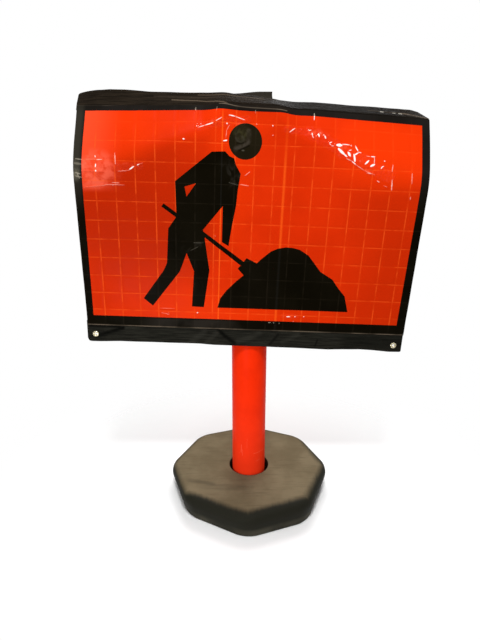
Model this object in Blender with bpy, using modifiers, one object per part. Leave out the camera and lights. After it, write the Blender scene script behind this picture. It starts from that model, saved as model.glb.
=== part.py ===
"""Roll-up road-works sign on a T-top post, modelled as its separate pieces.

Units are metres. +Z is up, the sign faces -Y, +X is to the right of someone who reads it, and the
origin is on the ground, on the axis of the post.

The soft sheet is described in its own flat coordinates: u runs across from the middle, v runs up
from the lower edge of the printed face. sheet_point() turns those into a place in space, leaning
and folding the sheet on the way, and every soft piece and batten is laid out through it.
"""

import math
from functools import lru_cache

import bmesh
import bpy
from mathutils import Vector

# Seats and fits
SEAT = 0.0003  # between two pieces that touch
TURN_FIT = 0.0006  # between the foot's spigot and the tube that turns on it
PLUG_FIT = 0.0003  # between the grip's plug and the tube
SLEEVE_FIT = 0.0015  # between the sleeve and the tube
CAP_FIT = 0.0007  # between the cap and the sleeve, whose flats don't line up
POCKET_FIT = 0.0007  # between a batten and each side of its pocket
LAP_FIT = 0.0006  # between the face and a hem's lap, whose flats don't line up where they bend

# Rubber base
BASE_R = 0.2535  # across a corner, at the top edge before it is rounded
BASE_FOOT_R = 0.2410
BASE_H = 0.0750
BASE_EDGE_R = 0.0180
BASE_HOLE_R = 0.0625
BASE_LIP = 0.0050
POCKET_COUNT = 16
POCKET_IN_R = 0.1230
POCKET_OUT_R = 0.2040
POCKET_DEPTH = 0.0400
RIB_T = 0.0160
POCKET_DRAFT = 0.0030
POCKET_EDGE_R = 0.0050
FOOT_ROOM = 0.0030  # round the foot's flange

# Foot
FLANGE_R = 0.1000
FLANGE_T = 0.0070
SPIGOT_H = 0.0850
MOULD_WALL = 0.0040
MOULD_EDGE = 0.0020

# Tube and grip
TUBE_R = 0.0525
TUBE_WALL = 0.0040
TUBE_EDGE = 0.0006
POST_H = 1.1850  # ground to the top of the grip
SHOULDER_T = 0.0050
SHOULDER_EDGE = 0.0015
NECK_H = 0.0400
NECK_FOOT_W = 0.0560
NECK_W = 0.0380
NECK_T = 0.0170
NECK_EDGE_R = 0.0040
NECK_SINK = 0.0030  # into the shoulder below and the bar above
BAR_LENGTH = 0.1000
BAR_H = 0.0320
BAR_T = 0.0200
BAR_EDGE_R = 0.0080
PLUG_H = 0.0600

# Printed face
FACE_W = 0.9000
FACE_H = 0.6000
FACE_T = 0.0010
TOP_DROP = 0.0260  # top of the grip down to the face's upper edge
HANG_DEG = 2.1  # the head hangs this much lower on its right

# How the face leans: two soft creases run down and out from the cap's sides. Each drops by
# CREASE_STEP beside the cap and goes on at its own slope. Over the cap they are off the face
CREASE_R = 0.0220
CREASE_MIDDLE_U = -0.0100
CREASE_CLEAR = 0.0450
CREASE_STEP = 0.0520
CREASE_STEP_SPAN = 0.0800
LEFT_CREASE_DEG = 17.6
RIGHT_CREASE_DEG = 17.4
LEAN_DEG = 25.5
LEFT_SWELL_DEG = 5.0  # how much the side edges come forward below the creases
RIGHT_SWELL_DEG = 2.9
SWELL_RISE = 0.0600

# Hems
HEM_T = 0.0009
HEM_LAP = 0.0120
HEM_FLAT_GAP = 0.0008  # between a hem's two layers where no batten spreads them
BOTTOM_HEM_H = 0.0470
TOP_HEM_H = 0.0420
HEM_TURN = 0.0080  # the soft bend between the face and the top hem
HEM_LEFT_LEAN_DEG = 37.0
HEM_RIGHT_LEAN_DEG = 64.0
HEM_LEAN_U = -0.2000  # where the lean starts to change from the left one
HEM_LEAN_SPAN = 0.2300
HEM_DROOP_DEG = 8.0  # more lean at the corners, past the batten's ends

# Battens
BATTEN_W = 0.0240
BATTEN_T = 0.0025
TOP_BATTEN_SHORT = 0.0600  # a side edge of the sign to the batten's end
EYELET_TO_BATTEN = 0.0300
POCKET_END = 0.0180  # over which a pocket closes past the batten's end

# Sleeve and its cap
SLEEVE_T = 0.0010
SEAM_U = 0.0815
SEAM_W = 0.0120
SLEEVE_ABOVE_LAP = 0.0030  # top of the bottom hem's lap to the sleeve's lower edge
SLEEVE_SHORT = 0.0050  # top of the tube down to the sleeve's upper edge
CAP_T = 0.0010
CAP_W = 0.1080
CAP_SIDE_DEG = 24.0
CAP_REAR_LAP = 0.0260
CAP_BAR_SIDE = 0.0010  # beside the bar of the grip
CAP_FRONT_LOW = 0.0680  # the face's upper edge down to the cap's front end
CAP_FRONT_LAP = 0.0240
CAP_ROUND_UP = 0.0080  # how far it stays round above the sleeve's upper edge
CAP_BLEND_DOWN = 0.0380  # from the bar's top down to where it is half round, half straight
CAP_TURN = 0.0060  # down each side of the bar from its top

# Eyelets and washers
EYELET_IN = 0.0180
EYELET_UP = 0.0200
EYELET_R = 0.0085
EYELET_FLANGE_T = 0.0012
BARREL_R = 0.0047
EYELET_BORE_R = 0.0040
ROLL_R = 0.0062
ROLL_T = 0.0009
EYELET_EDGE = 0.0004
EYELET_MOUTH = 0.0008
WASHER_T = 0.0008
WASHER_EDGE = 0.0002
HOLE_FIT = 0.0004

# Divisions
SHEET_COLUMNS = 36
TURNED_STEPS = 56
EYELET_STEPS = 20
GRIP_STEPS = 40
RISE_STEP = 0.0020
COLUMN_LEAST = 0.0080  # least distance between a hem's columns
ROW_LEAST = 0.0020  # and between the face's rows
CUT_BEYOND = 0.0100  # how far a cutter runs past what it cuts

# Sizes that follow from the ones above
GRIP_H = SHOULDER_T + NECK_H + BAR_H
TUBE_LOW = FLANGE_T + SEAT
TUBE_TOP = POST_H - GRIP_H - SEAT
TUBE_BORE_R = TUBE_R - TUBE_WALL
SHEET_LOW = -TOP_DROP - FACE_H  # the face's lower edge, from the top of the grip
LAYER_OFF = FACE_T / 2 + LAP_FIT + HEM_T / 2
SEAM_OFF = FACE_T / 2 + SEAT + SLEEVE_T / 2
POCKET_GAP = BATTEN_T + 2 * POCKET_FIT
# The lower pocket's back runs past the front of the tube, so it sets how far out the face hangs
FACE_Y = -(TUBE_R + SLEEVE_FIT + LAYER_OFF + POCKET_GAP + HEM_T * 1.5)
HALF_W = FACE_W / 2
EYELET_U = HALF_W - EYELET_IN
EYELET_V = EYELET_UP - BOTTOM_HEM_H
TOP_BATTEN_HALF = HALF_W - TOP_BATTEN_SHORT
BOTTOM_BATTEN_HALF = EYELET_U - EYELET_TO_BATTEN


def clear_scene():
    for old in list(bpy.data.objects):
        bpy.data.objects.remove(old, do_unlink=True)


def new_collection(name):
    made = bpy.data.collections.new(name)
    bpy.context.scene.collection.children.link(made)
    return made


def plastic(name, colour, roughness, metallic=0.0):
    made = bpy.data.materials.new(name)
    made.use_nodes = True
    shader = made.node_tree.nodes["Principled BSDF"]
    shader.inputs["Base Color"].default_value = (*colour, 1.0)
    shader.inputs["Roughness"].default_value = roughness
    shader.inputs["Metallic"].default_value = metallic
    return made


def add_object(name, work, finish, carrier=None, at=(0.0, 0.0, 0.0)):
    """An object from the bmesh work, carried by an empty and placed at a point in its space."""
    mesh = bpy.data.meshes.new(name)
    work.to_mesh(mesh)
    work.free()
    made = bpy.data.objects.new(name, mesh)
    PIECES.objects.link(made)
    mesh.materials.append(finish)
    made.parent = carrier
    made.location = at
    return made


def as_cutter(made):
    PIECES.objects.unlink(made)
    CUTTERS.objects.link(made)
    made.hide_render = True
    made.display_type = "WIRE"
    return made


def add_carrier(name, at, carrier=None):
    made = bpy.data.objects.new(name, None)
    PIECES.objects.link(made)
    made.parent = carrier
    made.location = at
    return made


def boolean(made, tool, operation):
    step = made.modifiers.new(operation.lower(), "BOOLEAN")
    step.operation = operation
    step.solver = "EXACT"
    step.object = tool


def solidify(made, thickness):
    step = made.modifiers.new("thickness", "SOLIDIFY")
    step.thickness = thickness
    step.offset = 0.0
    step.use_even_offset = True


def bevel(made, width, segments, by_weight=False):
    step = made.modifiers.new("rounding", "BEVEL")
    step.width = width
    step.segments = segments
    step.limit_method = "WEIGHT" if by_weight else "ANGLE"
    step.angle_limit = math.radians(40)


def smooth_round(made, degrees=35):
    made.data.shade_smooth()
    made.data.set_sharp_from_angle(angle=math.radians(degrees))


def turned(name, profile, finish, carrier=None, at=(0.0, 0.0, 0.0), steps=TURNED_STEPS):
    """A profile of (radius, height) points turned about Z, closed unless it ends on the axis."""
    work = bmesh.new()
    corners = [work.verts.new((r, 0.0, z)) for r, z in profile]
    for first, second in zip(corners, corners[1:]):
        work.edges.new((first, second))
    if profile[0][0] > 0.0:
        work.edges.new((corners[-1], corners[0]))
    made = add_object(name, work, finish, carrier, at)
    screw = made.modifiers.new("turning", "SCREW")
    screw.axis = "Z"
    screw.steps = steps
    screw.render_steps = steps
    screw.use_merge_vertices = True
    screw.merge_threshold = 0.00002
    smooth_round(made)
    return made


def ring_profile(inner, outer, low, high, edge):
    """A ring's section with small chamfers, clockwise from the top of its outer side."""
    return [
        (outer, high - edge),
        (outer, low + edge),
        (outer - edge, low),
        (inner + edge, low),
        (inner, low + edge),
        (inner, high - edge),
        (inner + edge, high),
        (outer - edge, high),
    ]


def box_work(size, centre):
    work = bmesh.new()
    bmesh.ops.create_cube(work, size=1.0)
    for vert in work.verts:
        vert.co = Vector(centre) + Vector(c * s for c, s in zip(vert.co, size))
    return work


def grid_work(columns, rows, place):
    """A grid whose point in column i and row j is place(columns[i], rows[j])."""
    work = bmesh.new()
    across, up = len(columns) - 1, len(rows) - 1
    bmesh.ops.create_grid(work, x_segments=across, y_segments=up, size=0.5)
    for vert in work.verts:
        i = round((vert.co.x + 0.5) * across)
        j = round((vert.co.y + 0.5) * up)
        vert.co = place(columns[i], rows[j])
    return work


def spaced(low, high, count):
    return [low + (high - low) * i / count for i in range(count + 1)]


def sheet_columns():
    return spaced(-HALF_W, HALF_W, SHEET_COLUMNS)


def ease(t):
    """0 below 0, 1 above 1 and a soft S between."""
    t = min(max(t, 0.0), 1.0)
    return t * t * (3 - 2 * t)


def mix(a, b, t):
    return a + (b - a) * t


def hem_lean(u):
    """How far the top hem leans back, in degrees from upright."""
    across = ease((u - HEM_LEAN_U) / HEM_LEAN_SPAN)
    corner = ease((abs(u) - TOP_BATTEN_HALF) / TOP_BATTEN_SHORT)
    return mix(HEM_LEFT_LEAN_DEG, HEM_RIGHT_LEAN_DEG, across) + HEM_DROOP_DEG * corner


def crease_height(u):
    """Where the crease's middle crosses the sheet at u."""
    slope = LEFT_CREASE_DEG if u < CREASE_MIDDLE_U else RIGHT_CREASE_DEG
    out = abs(u - CREASE_MIDDLE_U)
    step = CREASE_STEP * ease((out - CREASE_CLEAR) / CREASE_STEP_SPAN)
    return FACE_H + CREASE_R - step - out * math.tan(math.radians(slope))


def lean(u, v):
    """How far the sheet leans back at (u, v), in degrees from upright."""
    if u < CREASE_MIDDLE_U:
        swell = LEFT_SWELL_DEG * (CREASE_MIDDLE_U - u) / (HALF_W + CREASE_MIDDLE_U)
    else:
        swell = RIGHT_SWELL_DEG * (u - CREASE_MIDDLE_U) / (HALF_W - CREASE_MIDDLE_U)
    lower = -swell * ease(v / SWELL_RISE)
    folded = ease((v - crease_height(u) + CREASE_R) / (2 * CREASE_R))
    return mix(mix(lower, LEAN_DEG, folded), hem_lean(u), ease((v - FACE_H) / HEM_TURN))


@lru_cache(maxsize=None)
def rise(u):
    """Places (back, up) along the sheet at u, a step apart from its lower edge upwards."""
    back, up = 0.0, 0.0
    places = [(back, up)]
    for i in range(math.ceil((FACE_H + TOP_HEM_H) / RISE_STEP) + 2):
        angle = math.radians(lean(u, (i + 0.5) * RISE_STEP))
        back += RISE_STEP * math.sin(angle)
        up += RISE_STEP * math.cos(angle)
        places.append((back, up))
    return places


def sheet_point(u, v, off=0.0):
    """Where the sheet's point (u, v) lies, moved off to the back, from the top of the grip."""
    if v < 0:
        back, up, angle = 0.0, v, 0.0
    else:
        places = rise(round(u, 6))
        i = min(int(v / RISE_STEP), len(places) - 2)
        t = v / RISE_STEP - i
        back = mix(places[i][0], places[i + 1][0], t)
        up = mix(places[i][1], places[i + 1][1], t)
        angle = math.radians(lean(u, v))
    back += off * math.cos(angle)
    up -= off * math.sin(angle)
    hang = math.radians(HANG_DEG)
    above = up - FACE_H / 2
    x = u * math.cos(hang) + above * math.sin(hang)
    z = FACE_H / 2 + above * math.cos(hang) - u * math.sin(hang)
    return Vector((x, FACE_Y + back, SHEET_LOW + z))


def hem_columns(batten_half):
    """The sheet's columns, and the places where a pocket starts to close and is shut."""
    ends = [batten_half, batten_half + POCKET_END]
    ends += [-u for u in ends]
    kept = [u for u in sheet_columns() if all(abs(u - end) > COLUMN_LEAST for end in ends)]
    return sorted(kept + ends)


def pocket_section(height, gap):
    """Points (out, off) along a hem strip from its front lap, round its fold, to its back lap.

    out is measured from the face's edge, and off from the front layer to the back.
    """
    flat, deep = HEM_T + HEM_FLAT_GAP, HEM_T + gap
    radius = deep / 2
    middle, inner = height / 2, (height - BATTEN_W) / 2
    front = [(out, 0.0) for out in (-HEM_LAP, 0.0, HEM_TURN / 2, inner, middle)]
    fold = []
    for k in range(4):
        turn = math.pi * k / 3
        fold.append((height - radius + radius * math.sin(turn), radius * (1 - math.cos(turn))))
    back = [(middle, deep), (inner, deep), (HEM_TURN / 2, flat), (0.0, flat), (-HEM_LAP, flat)]
    return front + fold + back


def make_hem(name, edge_v, way, height, batten_half, carrier):
    """A folded strip lapped behind the face's edge. way is 1 above the face and -1 below it."""

    def place(u, k):
        open_share = 1 - ease((abs(u) - batten_half) / POCKET_END)
        gap = mix(HEM_FLAT_GAP, POCKET_GAP, open_share)
        out, off = pocket_section(height, gap)[k]
        return sheet_point(u, edge_v + way * out, LAYER_OFF + off)

    count = len(pocket_section(height, POCKET_GAP))
    work = grid_work(hem_columns(batten_half), range(count), place)
    made = add_object(name, work, BLACK_FABRIC, carrier)
    solidify(made, HEM_T)
    smooth_round(made, 50)
    return made


def make_batten(name, middle_v, half_length, carrier):
    """A flat strip that bends with the pocket it lies in."""
    off = LAYER_OFF + (HEM_T + POCKET_GAP) / 2
    rows = [middle_v - BATTEN_W / 2, middle_v, middle_v + BATTEN_W / 2]
    inside = [u for u in sheet_columns() if abs(u) < half_length - COLUMN_LEAST]
    columns = [-half_length] + inside + [half_length]
    work = grid_work(columns, rows, lambda u, v: sheet_point(u, v, off))
    made = add_object(name, work, BATTEN_PLASTIC, carrier)
    solidify(made, BATTEN_T)
    return made


def face_heights(u):
    """Heights of the face's rows at u: they close up along the crease, wherever it runs."""
    low, high = crease_height(u) - CREASE_R, crease_height(u) + CREASE_R
    rows = [0.0, SWELL_RISE / 2] + spaced(SWELL_RISE, low, 6)
    rows += spaced(low, high, 4)[1:] + spaced(high, FACE_H, 3)[1:]
    return [min(v, FACE_H - ROW_LEAST * (len(rows) - 1 - k)) for k, v in enumerate(rows)]


def make_face(carrier):
    rows = range(len(face_heights(0.0)))
    work = grid_work(sheet_columns(), rows, lambda u, k: sheet_point(u, face_heights(u)[k]))
    made = add_object("sign_face", work, FACE_PVC, carrier)
    solidify(made, FACE_T)
    smooth_round(made, 50)


def tangent_angle(point, radius, side):
    """The angle, about the tube's axis, where a line from point touches the circle at the back."""
    reach = math.acos(min(radius / math.hypot(point.x, point.y), 1.0))
    return math.atan2(point.y, point.x) + side * reach


def sleeve_section(v):
    """Points round the sleeve at height v, from its left seam round the tube to its right seam."""
    outer, inner = SEAM_U + SEAM_W / 2, SEAM_U - SEAM_W / 2
    left = [sheet_point(-u, v, SEAM_OFF) for u in (outer, inner)]
    right = [sheet_point(u, v, SEAM_OFF) for u in (inner, outer)]
    radius = TUBE_R + SLEEVE_FIT + SLEEVE_T / 2
    low = tangent_angle(right[0], radius, 1)
    high = tangent_angle(left[1], radius, -1) % (2 * math.pi)
    arc = []
    for angle in spaced(high, low, 12):
        arc.append(Vector((radius * math.cos(angle), radius * math.sin(angle), 0.0)))
    path = left + [left[1].lerp(arc[0], 0.5)] + arc + [right[0].lerp(arc[-1], 0.5)] + right
    for k, point in enumerate(path[2:-2]):
        point.z = mix(left[1].z, right[0].z, (k + 1) / (len(path) - 3))
    return path


def make_sleeve(carrier):
    top = TUBE_TOP - SLEEVE_SHORT - POST_H - SHEET_LOW
    rows = spaced(HEM_LAP + SLEEVE_ABOVE_LAP, top, 16)
    sections = [sleeve_section(v) for v in rows]
    columns = range(len(sections[0]))
    work = grid_work(columns, range(len(rows)), lambda i, j: sections[j][i])
    made = add_object("rear_sleeve", work, BLACK_FABRIC, carrier)
    solidify(made, SLEEVE_T)
    smooth_round(made, 50)


def cap_rows():
    """The cap's middle line from the back lap over the bar to the front lap.

    Each row is (kind, y, z): 'round' rows follow the sleeve, 'bar' rows are straight across, and
    'face' rows hold a height v on the sheet in place of z.
    """
    sleeve_top = TUBE_TOP - SLEEVE_SHORT - POST_H
    side = BAR_T / 2 + CAP_BAR_SIDE + CAP_T / 2
    over = SEAT + CAP_T / 2
    front_v = FACE_H - CAP_FRONT_LOW
    return [
        ("round", 0.0, sleeve_top - CAP_REAR_LAP),
        ("round", 0.0, sleeve_top),
        ("round", 0.0, sleeve_top + CAP_ROUND_UP),
        ("blend", side, -CAP_BLEND_DOWN),
        ("bar", side, -CAP_TURN),
        ("bar", side - CAP_TURN / 2, over),
        ("bar", -side + CAP_TURN / 2, over),
        ("bar", -side, -CAP_TURN),
        ("face", 0.0, front_v + CAP_FRONT_LAP),
        ("face", 0.0, front_v),
    ]


def make_cap(carrier):
    """The sleeve's closed end: lapped round the sleeve, over the bar and down behind the face."""
    radius = TUBE_R + SLEEVE_FIT + SLEEVE_T + CAP_FIT + CAP_T / 2
    side = math.radians(CAP_SIDE_DEG)

    def place(angle, row):
        kind, y, z = row
        x = CAP_W / 2 * math.cos(angle) / math.cos(side)
        round_x, round_y = radius * math.cos(angle), radius * math.sin(angle)
        if kind == "round":
            return Vector((round_x, round_y, z))
        if kind == "blend":
            return Vector((mix(round_x, x, 0.5), mix(round_y, y, 0.5), z))
        if kind == "face":
            return sheet_point(x, z, SEAM_OFF)
        return Vector((x, y, z))

    columns = spaced(math.pi - side, side, 10)
    made = add_object("sleeve_cap", grid_work(columns, cap_rows(), place), BLACK_WEAVE, carrier)
    solidify(made, CAP_T)
    smooth_round(made, 50)


def make_eyelets(hem, carrier):
    """At each lower corner an eyelet, the washer it is rolled over, and their hole in the hem."""
    front = LAYER_OFF - HEM_T / 2
    rear = LAYER_OFF + HEM_FLAT_GAP + HEM_T * 1.5
    washer_at = rear + SEAT
    roll_at = washer_at + WASHER_T + SEAT
    flange_z = SEAT + EYELET_FLANGE_T
    depth = roll_at - front
    # Turned about Z with +Z towards the reader, then laid down so that +Z points along -Y
    roll_end = -depth - ROLL_T
    eyelet = [
        (EYELET_R, SEAT + EYELET_EDGE),
        (EYELET_R - EYELET_EDGE, SEAT),
        (BARREL_R, SEAT),
        (BARREL_R, -depth),
        (ROLL_R, -depth),
        (ROLL_R, roll_end + EYELET_EDGE),
        (ROLL_R - EYELET_EDGE, roll_end),
        (EYELET_BORE_R + EYELET_EDGE, roll_end),
        (EYELET_BORE_R, roll_end + EYELET_EDGE),
        (EYELET_BORE_R, flange_z - EYELET_MOUTH),
        (EYELET_BORE_R + EYELET_MOUTH, flange_z),
        (EYELET_R - 2 * EYELET_MOUTH, flange_z),
        (EYELET_R - EYELET_EDGE, flange_z - EYELET_EDGE),
    ]
    washer = ring_profile(BARREL_R + HOLE_FIT, EYELET_R, 0.0, WASHER_T, WASHER_EDGE)
    laid = (math.pi / 2, 0.0, 0.0)
    for side, u in (("left", -EYELET_U), ("right", EYELET_U)):
        at = sheet_point(u, EYELET_V, front)
        made = turned(f"eyelet_{side}", eyelet, BRASS, carrier, at, EYELET_STEPS)
        made.rotation_euler = laid
        at = sheet_point(u, EYELET_V, washer_at + WASHER_T)
        made = turned(f"eyelet_washer_{side}", washer, BRASS, carrier, at, EYELET_STEPS)
        made.rotation_euler = laid
        work = bmesh.new()
        radius = BARREL_R + HOLE_FIT
        bmesh.ops.create_cone(
            work,
            cap_ends=True,
            segments=EYELET_STEPS,
            radius1=radius,
            radius2=radius,
            depth=2 * CUT_BEYOND,
        )
        hole = add_object(f"eyelet_hole_{side}", work, BRASS, carrier, sheet_point(u, EYELET_V))
        hole.rotation_euler = laid
        boolean(hem, as_cutter(hole), "DIFFERENCE")


def make_base(carrier):
    """Eight-sided moulding: rounded top edge and corners, lipped hole, ribs underneath."""
    work = bmesh.new()
    bmesh.ops.create_cone(
        work, cap_ends=True, segments=8, radius1=BASE_FOOT_R, radius2=BASE_R, depth=BASE_H
    )
    weights = work.edges.layers.float.new("bevel_weight_edge")
    for vert in work.verts:
        vert.co.z += BASE_H / 2
    for edge in work.edges:
        tops = sum(vert.co.z > BASE_H / 2 for vert in edge.verts)
        edge[weights] = (0.22, 0.9, 1.0)[tops]
    base = add_object("rubber_base", work, RUBBER, carrier)
    bevel(base, BASE_EDGE_R, 4, by_weight=True)

    recess_r, recess_h = FLANGE_R + FOOT_ROOM, FLANGE_T + SEAT
    lip = []
    for k in range(5):
        turn = math.pi / 2 * k / 4
        out, down = BASE_LIP * (1 - math.sin(turn)), BASE_LIP * (1 - math.cos(turn))
        lip.append((BASE_HOLE_R + out, BASE_H - down))
    profile = [(0.0, BASE_H + CUT_BEYOND), (BASE_HOLE_R + BASE_LIP, BASE_H + CUT_BEYOND)]
    profile += lip + [(BASE_HOLE_R, recess_h), (recess_r, recess_h), (recess_r, -CUT_BEYOND)]
    bore = turned("base_bore", profile + [(0.0, -CUT_BEYOND)], RUBBER, carrier)
    boolean(base, as_cutter(bore), "DIFFERENCE")

    # The ribs run straight out, so a pocket is as wide as its sector less one rib
    work = bmesh.new()
    sector = 2 * math.pi / POCKET_COUNT
    for k in range(POCKET_COUNT):
        made = bmesh.ops.create_cube(work, size=1.0)["verts"]
        turn = sector * (k + 0.5)
        for vert in made:
            out = POCKET_OUT_R if vert.co.x > 0 else POCKET_IN_R
            half = out * math.tan(sector / 2) - RIB_T / 2
            if vert.co.z > 0:
                out += -POCKET_DRAFT if vert.co.x > 0 else POCKET_DRAFT
                half -= POCKET_DRAFT
            side = half if vert.co.y > 0 else -half
            x = out * math.cos(turn) - side * math.sin(turn)
            y = out * math.sin(turn) + side * math.cos(turn)
            vert.co = (x, y, POCKET_DEPTH if vert.co.z > 0 else -CUT_BEYOND)
    pockets = as_cutter(add_object("base_pockets", work, RUBBER, carrier))
    bevel(pockets, POCKET_EDGE_R, 2)
    boolean(base, pockets, "DIFFERENCE")
    smooth_round(base)


def make_foot():
    """A flange under the base and a hollow spigot up inside the tube."""
    outer = TUBE_BORE_R - TURN_FIT
    inner = outer - MOULD_WALL
    top = FLANGE_T + SPIGOT_H
    profile = [
        (outer, top - MOULD_EDGE),
        (outer, FLANGE_T),
        (FLANGE_R - MOULD_EDGE, FLANGE_T),
        (FLANGE_R, FLANGE_T - MOULD_EDGE),
        (FLANGE_R, 0.0),
        (inner, 0.0),
        (inner, top),
        (outer - MOULD_EDGE, top),
    ]
    turned("post_foot", profile, BLACK_PLASTIC)


def make_tube(carrier):
    profile = ring_profile(TUBE_BORE_R, TUBE_R, TUBE_LOW, TUBE_TOP, TUBE_EDGE)
    turned("post_tube", profile, POST_PLASTIC, carrier)


def make_grip(carrier):
    """The T-shaped grip: a plug in the tube, a shoulder on its end, a neck and a cross bar."""
    plug_r = TUBE_BORE_R - PLUG_FIT
    hollow_r = plug_r - MOULD_WALL
    profile = [
        (0.0, SHOULDER_T),
        (TUBE_R - SHOULDER_EDGE, SHOULDER_T),
        (TUBE_R, SHOULDER_T - SHOULDER_EDGE),
        (TUBE_R, 0.0),
        (plug_r, 0.0),
        (plug_r, -PLUG_H + MOULD_EDGE),
        (plug_r - MOULD_EDGE, -PLUG_H),
        (hollow_r, -PLUG_H),
        (hollow_r, -MOULD_EDGE),
        (hollow_r - MOULD_EDGE, 0.0),
        (0.0, 0.0),
    ]
    at = (0.0, 0.0, TUBE_TOP + SEAT)
    grip = turned("t_top", profile, POST_PLASTIC, carrier, at, GRIP_STEPS)

    low, high = SHOULDER_T - NECK_SINK, SHOULDER_T + NECK_H + NECK_SINK
    work = box_work((1.0, NECK_T, high - low), (0.0, 0.0, (low + high) / 2))
    for vert in work.verts:
        vert.co.x *= NECK_W if vert.co.z > (low + high) / 2 else NECK_FOOT_W
    neck = as_cutter(add_object("t_top_neck", work, POST_PLASTIC, carrier, at))
    bevel(neck, NECK_EDGE_R, 3)
    bar_at = SHOULDER_T + NECK_H + BAR_H / 2
    work = box_work((BAR_LENGTH, BAR_T, BAR_H), (0.0, 0.0, bar_at))
    bar = as_cutter(add_object("t_top_bar", work, POST_PLASTIC, carrier, at))
    bevel(bar, BAR_EDGE_R, 4)
    boolean(grip, neck, "UNION")
    boolean(grip, bar, "UNION")
    smooth_round(grip)


clear_scene()
PIECES = new_collection("roll_up_sign")
CUTTERS = new_collection("cutters")

POST_PLASTIC = plastic("post_plastic", (0.90, 0.06, 0.01), 0.35)
BLACK_PLASTIC = plastic("foot_plastic", (0.02, 0.02, 0.02), 0.45)
RUBBER = plastic("recycled_rubber", (0.15, 0.12, 0.08), 0.85)
FACE_PVC = plastic("face_pvc", (0.90, 0.05, 0.01), 0.30)
BLACK_FABRIC = plastic("hem_fabric", (0.02, 0.02, 0.018), 0.60)
BLACK_WEAVE = plastic("cap_weave", (0.03, 0.025, 0.02), 0.70)
BATTEN_PLASTIC = plastic("batten_glass_fibre", (0.75, 0.73, 0.65), 0.45)
BRASS = plastic("eyelet_brass", (0.80, 0.70, 0.45), 0.25, 1.0)

base_slide = add_carrier("base_slide_axis", (0.0, 0.0, 0.0))
post_axis = add_carrier("post_turn_axis", (0.0, 0.0, 0.0))
sign_seat = add_carrier("sign_lift_axis", (0.0, 0.0, POST_H), post_axis)

make_foot()
make_base(base_slide)
make_tube(post_axis)
make_grip(post_axis)
make_face(sign_seat)
make_hem("top_hem", FACE_H, 1, TOP_HEM_H, TOP_BATTEN_HALF, sign_seat)
make_batten("top_batten", FACE_H + TOP_HEM_H / 2, TOP_BATTEN_HALF, sign_seat)
bottom_hem = make_hem("bottom_hem", 0.0, -1, BOTTOM_HEM_H, BOTTOM_BATTEN_HALF, sign_seat)
make_batten("bottom_batten", -BOTTOM_HEM_H / 2, BOTTOM_BATTEN_HALF, sign_seat)
make_eyelets(bottom_hem, sign_seat)
make_sleeve(sign_seat)
make_cap(sign_seat)
bpy.context.view_layer.update()
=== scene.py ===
"""Looks of a roll-up road-works sign on its post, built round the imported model.

Metres throughout. The post stands on the origin, the sign faces -Y and +Z is up. The sections
follow the sign as it is put together, from the foot on the road to the cloth over the post.
"""

import math
import random

import bmesh
import bpy
import numpy as np
from mathutils import Matrix, Vector


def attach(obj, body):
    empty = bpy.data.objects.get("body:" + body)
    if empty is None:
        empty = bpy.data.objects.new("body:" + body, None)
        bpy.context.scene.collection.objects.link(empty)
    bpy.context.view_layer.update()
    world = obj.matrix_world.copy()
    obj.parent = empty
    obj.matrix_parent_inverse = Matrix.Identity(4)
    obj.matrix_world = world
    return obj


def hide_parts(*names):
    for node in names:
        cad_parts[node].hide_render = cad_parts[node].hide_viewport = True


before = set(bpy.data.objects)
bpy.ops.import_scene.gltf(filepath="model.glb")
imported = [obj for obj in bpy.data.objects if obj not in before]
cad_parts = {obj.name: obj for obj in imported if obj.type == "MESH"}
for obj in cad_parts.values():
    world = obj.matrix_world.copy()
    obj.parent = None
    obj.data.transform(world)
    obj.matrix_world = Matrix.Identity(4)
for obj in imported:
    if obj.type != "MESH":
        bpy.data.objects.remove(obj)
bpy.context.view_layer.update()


# Foot. A black flange that lies on the road under the rubber base, with a hollow spigot inside
# the tube. It is one glass-filled nylon moulding, and only the tube's weight holds the two
# together.
FLANGE_R = 0.1000
FLANGE_T = 0.0070
SPIGOT_R = 0.0479
SPIGOT_H = 0.0850
MOULD_WALL = 0.0040
MOULD_EDGE = 0.0018
NYLON_BLACK = (0.012, 0.012, 0.013)


class Pattern:
    """One socket of a tree's nodes. A sum with it adds the Math nodes that work it out."""

    def __init__(self, nodes, socket):
        self.nodes = nodes
        self.socket = socket

    def worked(self, operation, first, second):
        return self.nodes.node("Math", {"operation": operation}, {0: first, 1: second})

    def __add__(self, other):
        return self.worked("ADD", self, other)

    def __radd__(self, other):
        return self.worked("ADD", other, self)

    def __sub__(self, other):
        return self.worked("SUBTRACT", self, other)

    def __rsub__(self, other):
        return self.worked("SUBTRACT", other, self)

    def __mul__(self, other):
        return self.worked("MULTIPLY", self, other)

    def __rmul__(self, other):
        return self.worked("MULTIPLY", other, self)

    def __truediv__(self, other):
        return self.worked("DIVIDE", self, other)

    def part(self, axis):
        """One number of a vector: X, Y or Z."""
        return self.nodes.node("SeparateXYZ", {}, {0: self}, "XYZ".index(axis))

    def fn(self, operation, second=0.0):
        """Any other operation of a Math node, such as ABSOLUTE or MAXIMUM."""
        return self.worked(operation, self, second)

    def between(self, low, high, start=0.0, end=1.0):
        """Runs softly from start to end as the pattern goes from low to high."""
        return self.nodes.node(
            "MapRange",
            {"interpolation_type": "SMOOTHSTEP"},
            {"Value": self, "From Min": low, "From Max": high, "To Min": start, "To Max": end},
        )


class Nodes:
    """A tree of shader nodes. All but the plain sums are added to it by one method."""

    def __init__(self, tree):
        self.tree = tree

    def node(self, kind, settings, inputs, output=0):
        """Adds a node of a kind, with its settings and the values or links of its sockets."""
        made = self.tree.nodes.new("ShaderNode" + kind)
        for name, value in settings.items():
            setattr(made, name, value)
        for name, value in inputs.items():
            if isinstance(value, Pattern):
                self.tree.links.new(value.socket, made.inputs[name])
            else:
                made.inputs[name].default_value = value
        return Pattern(self, made.outputs[output])


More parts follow.
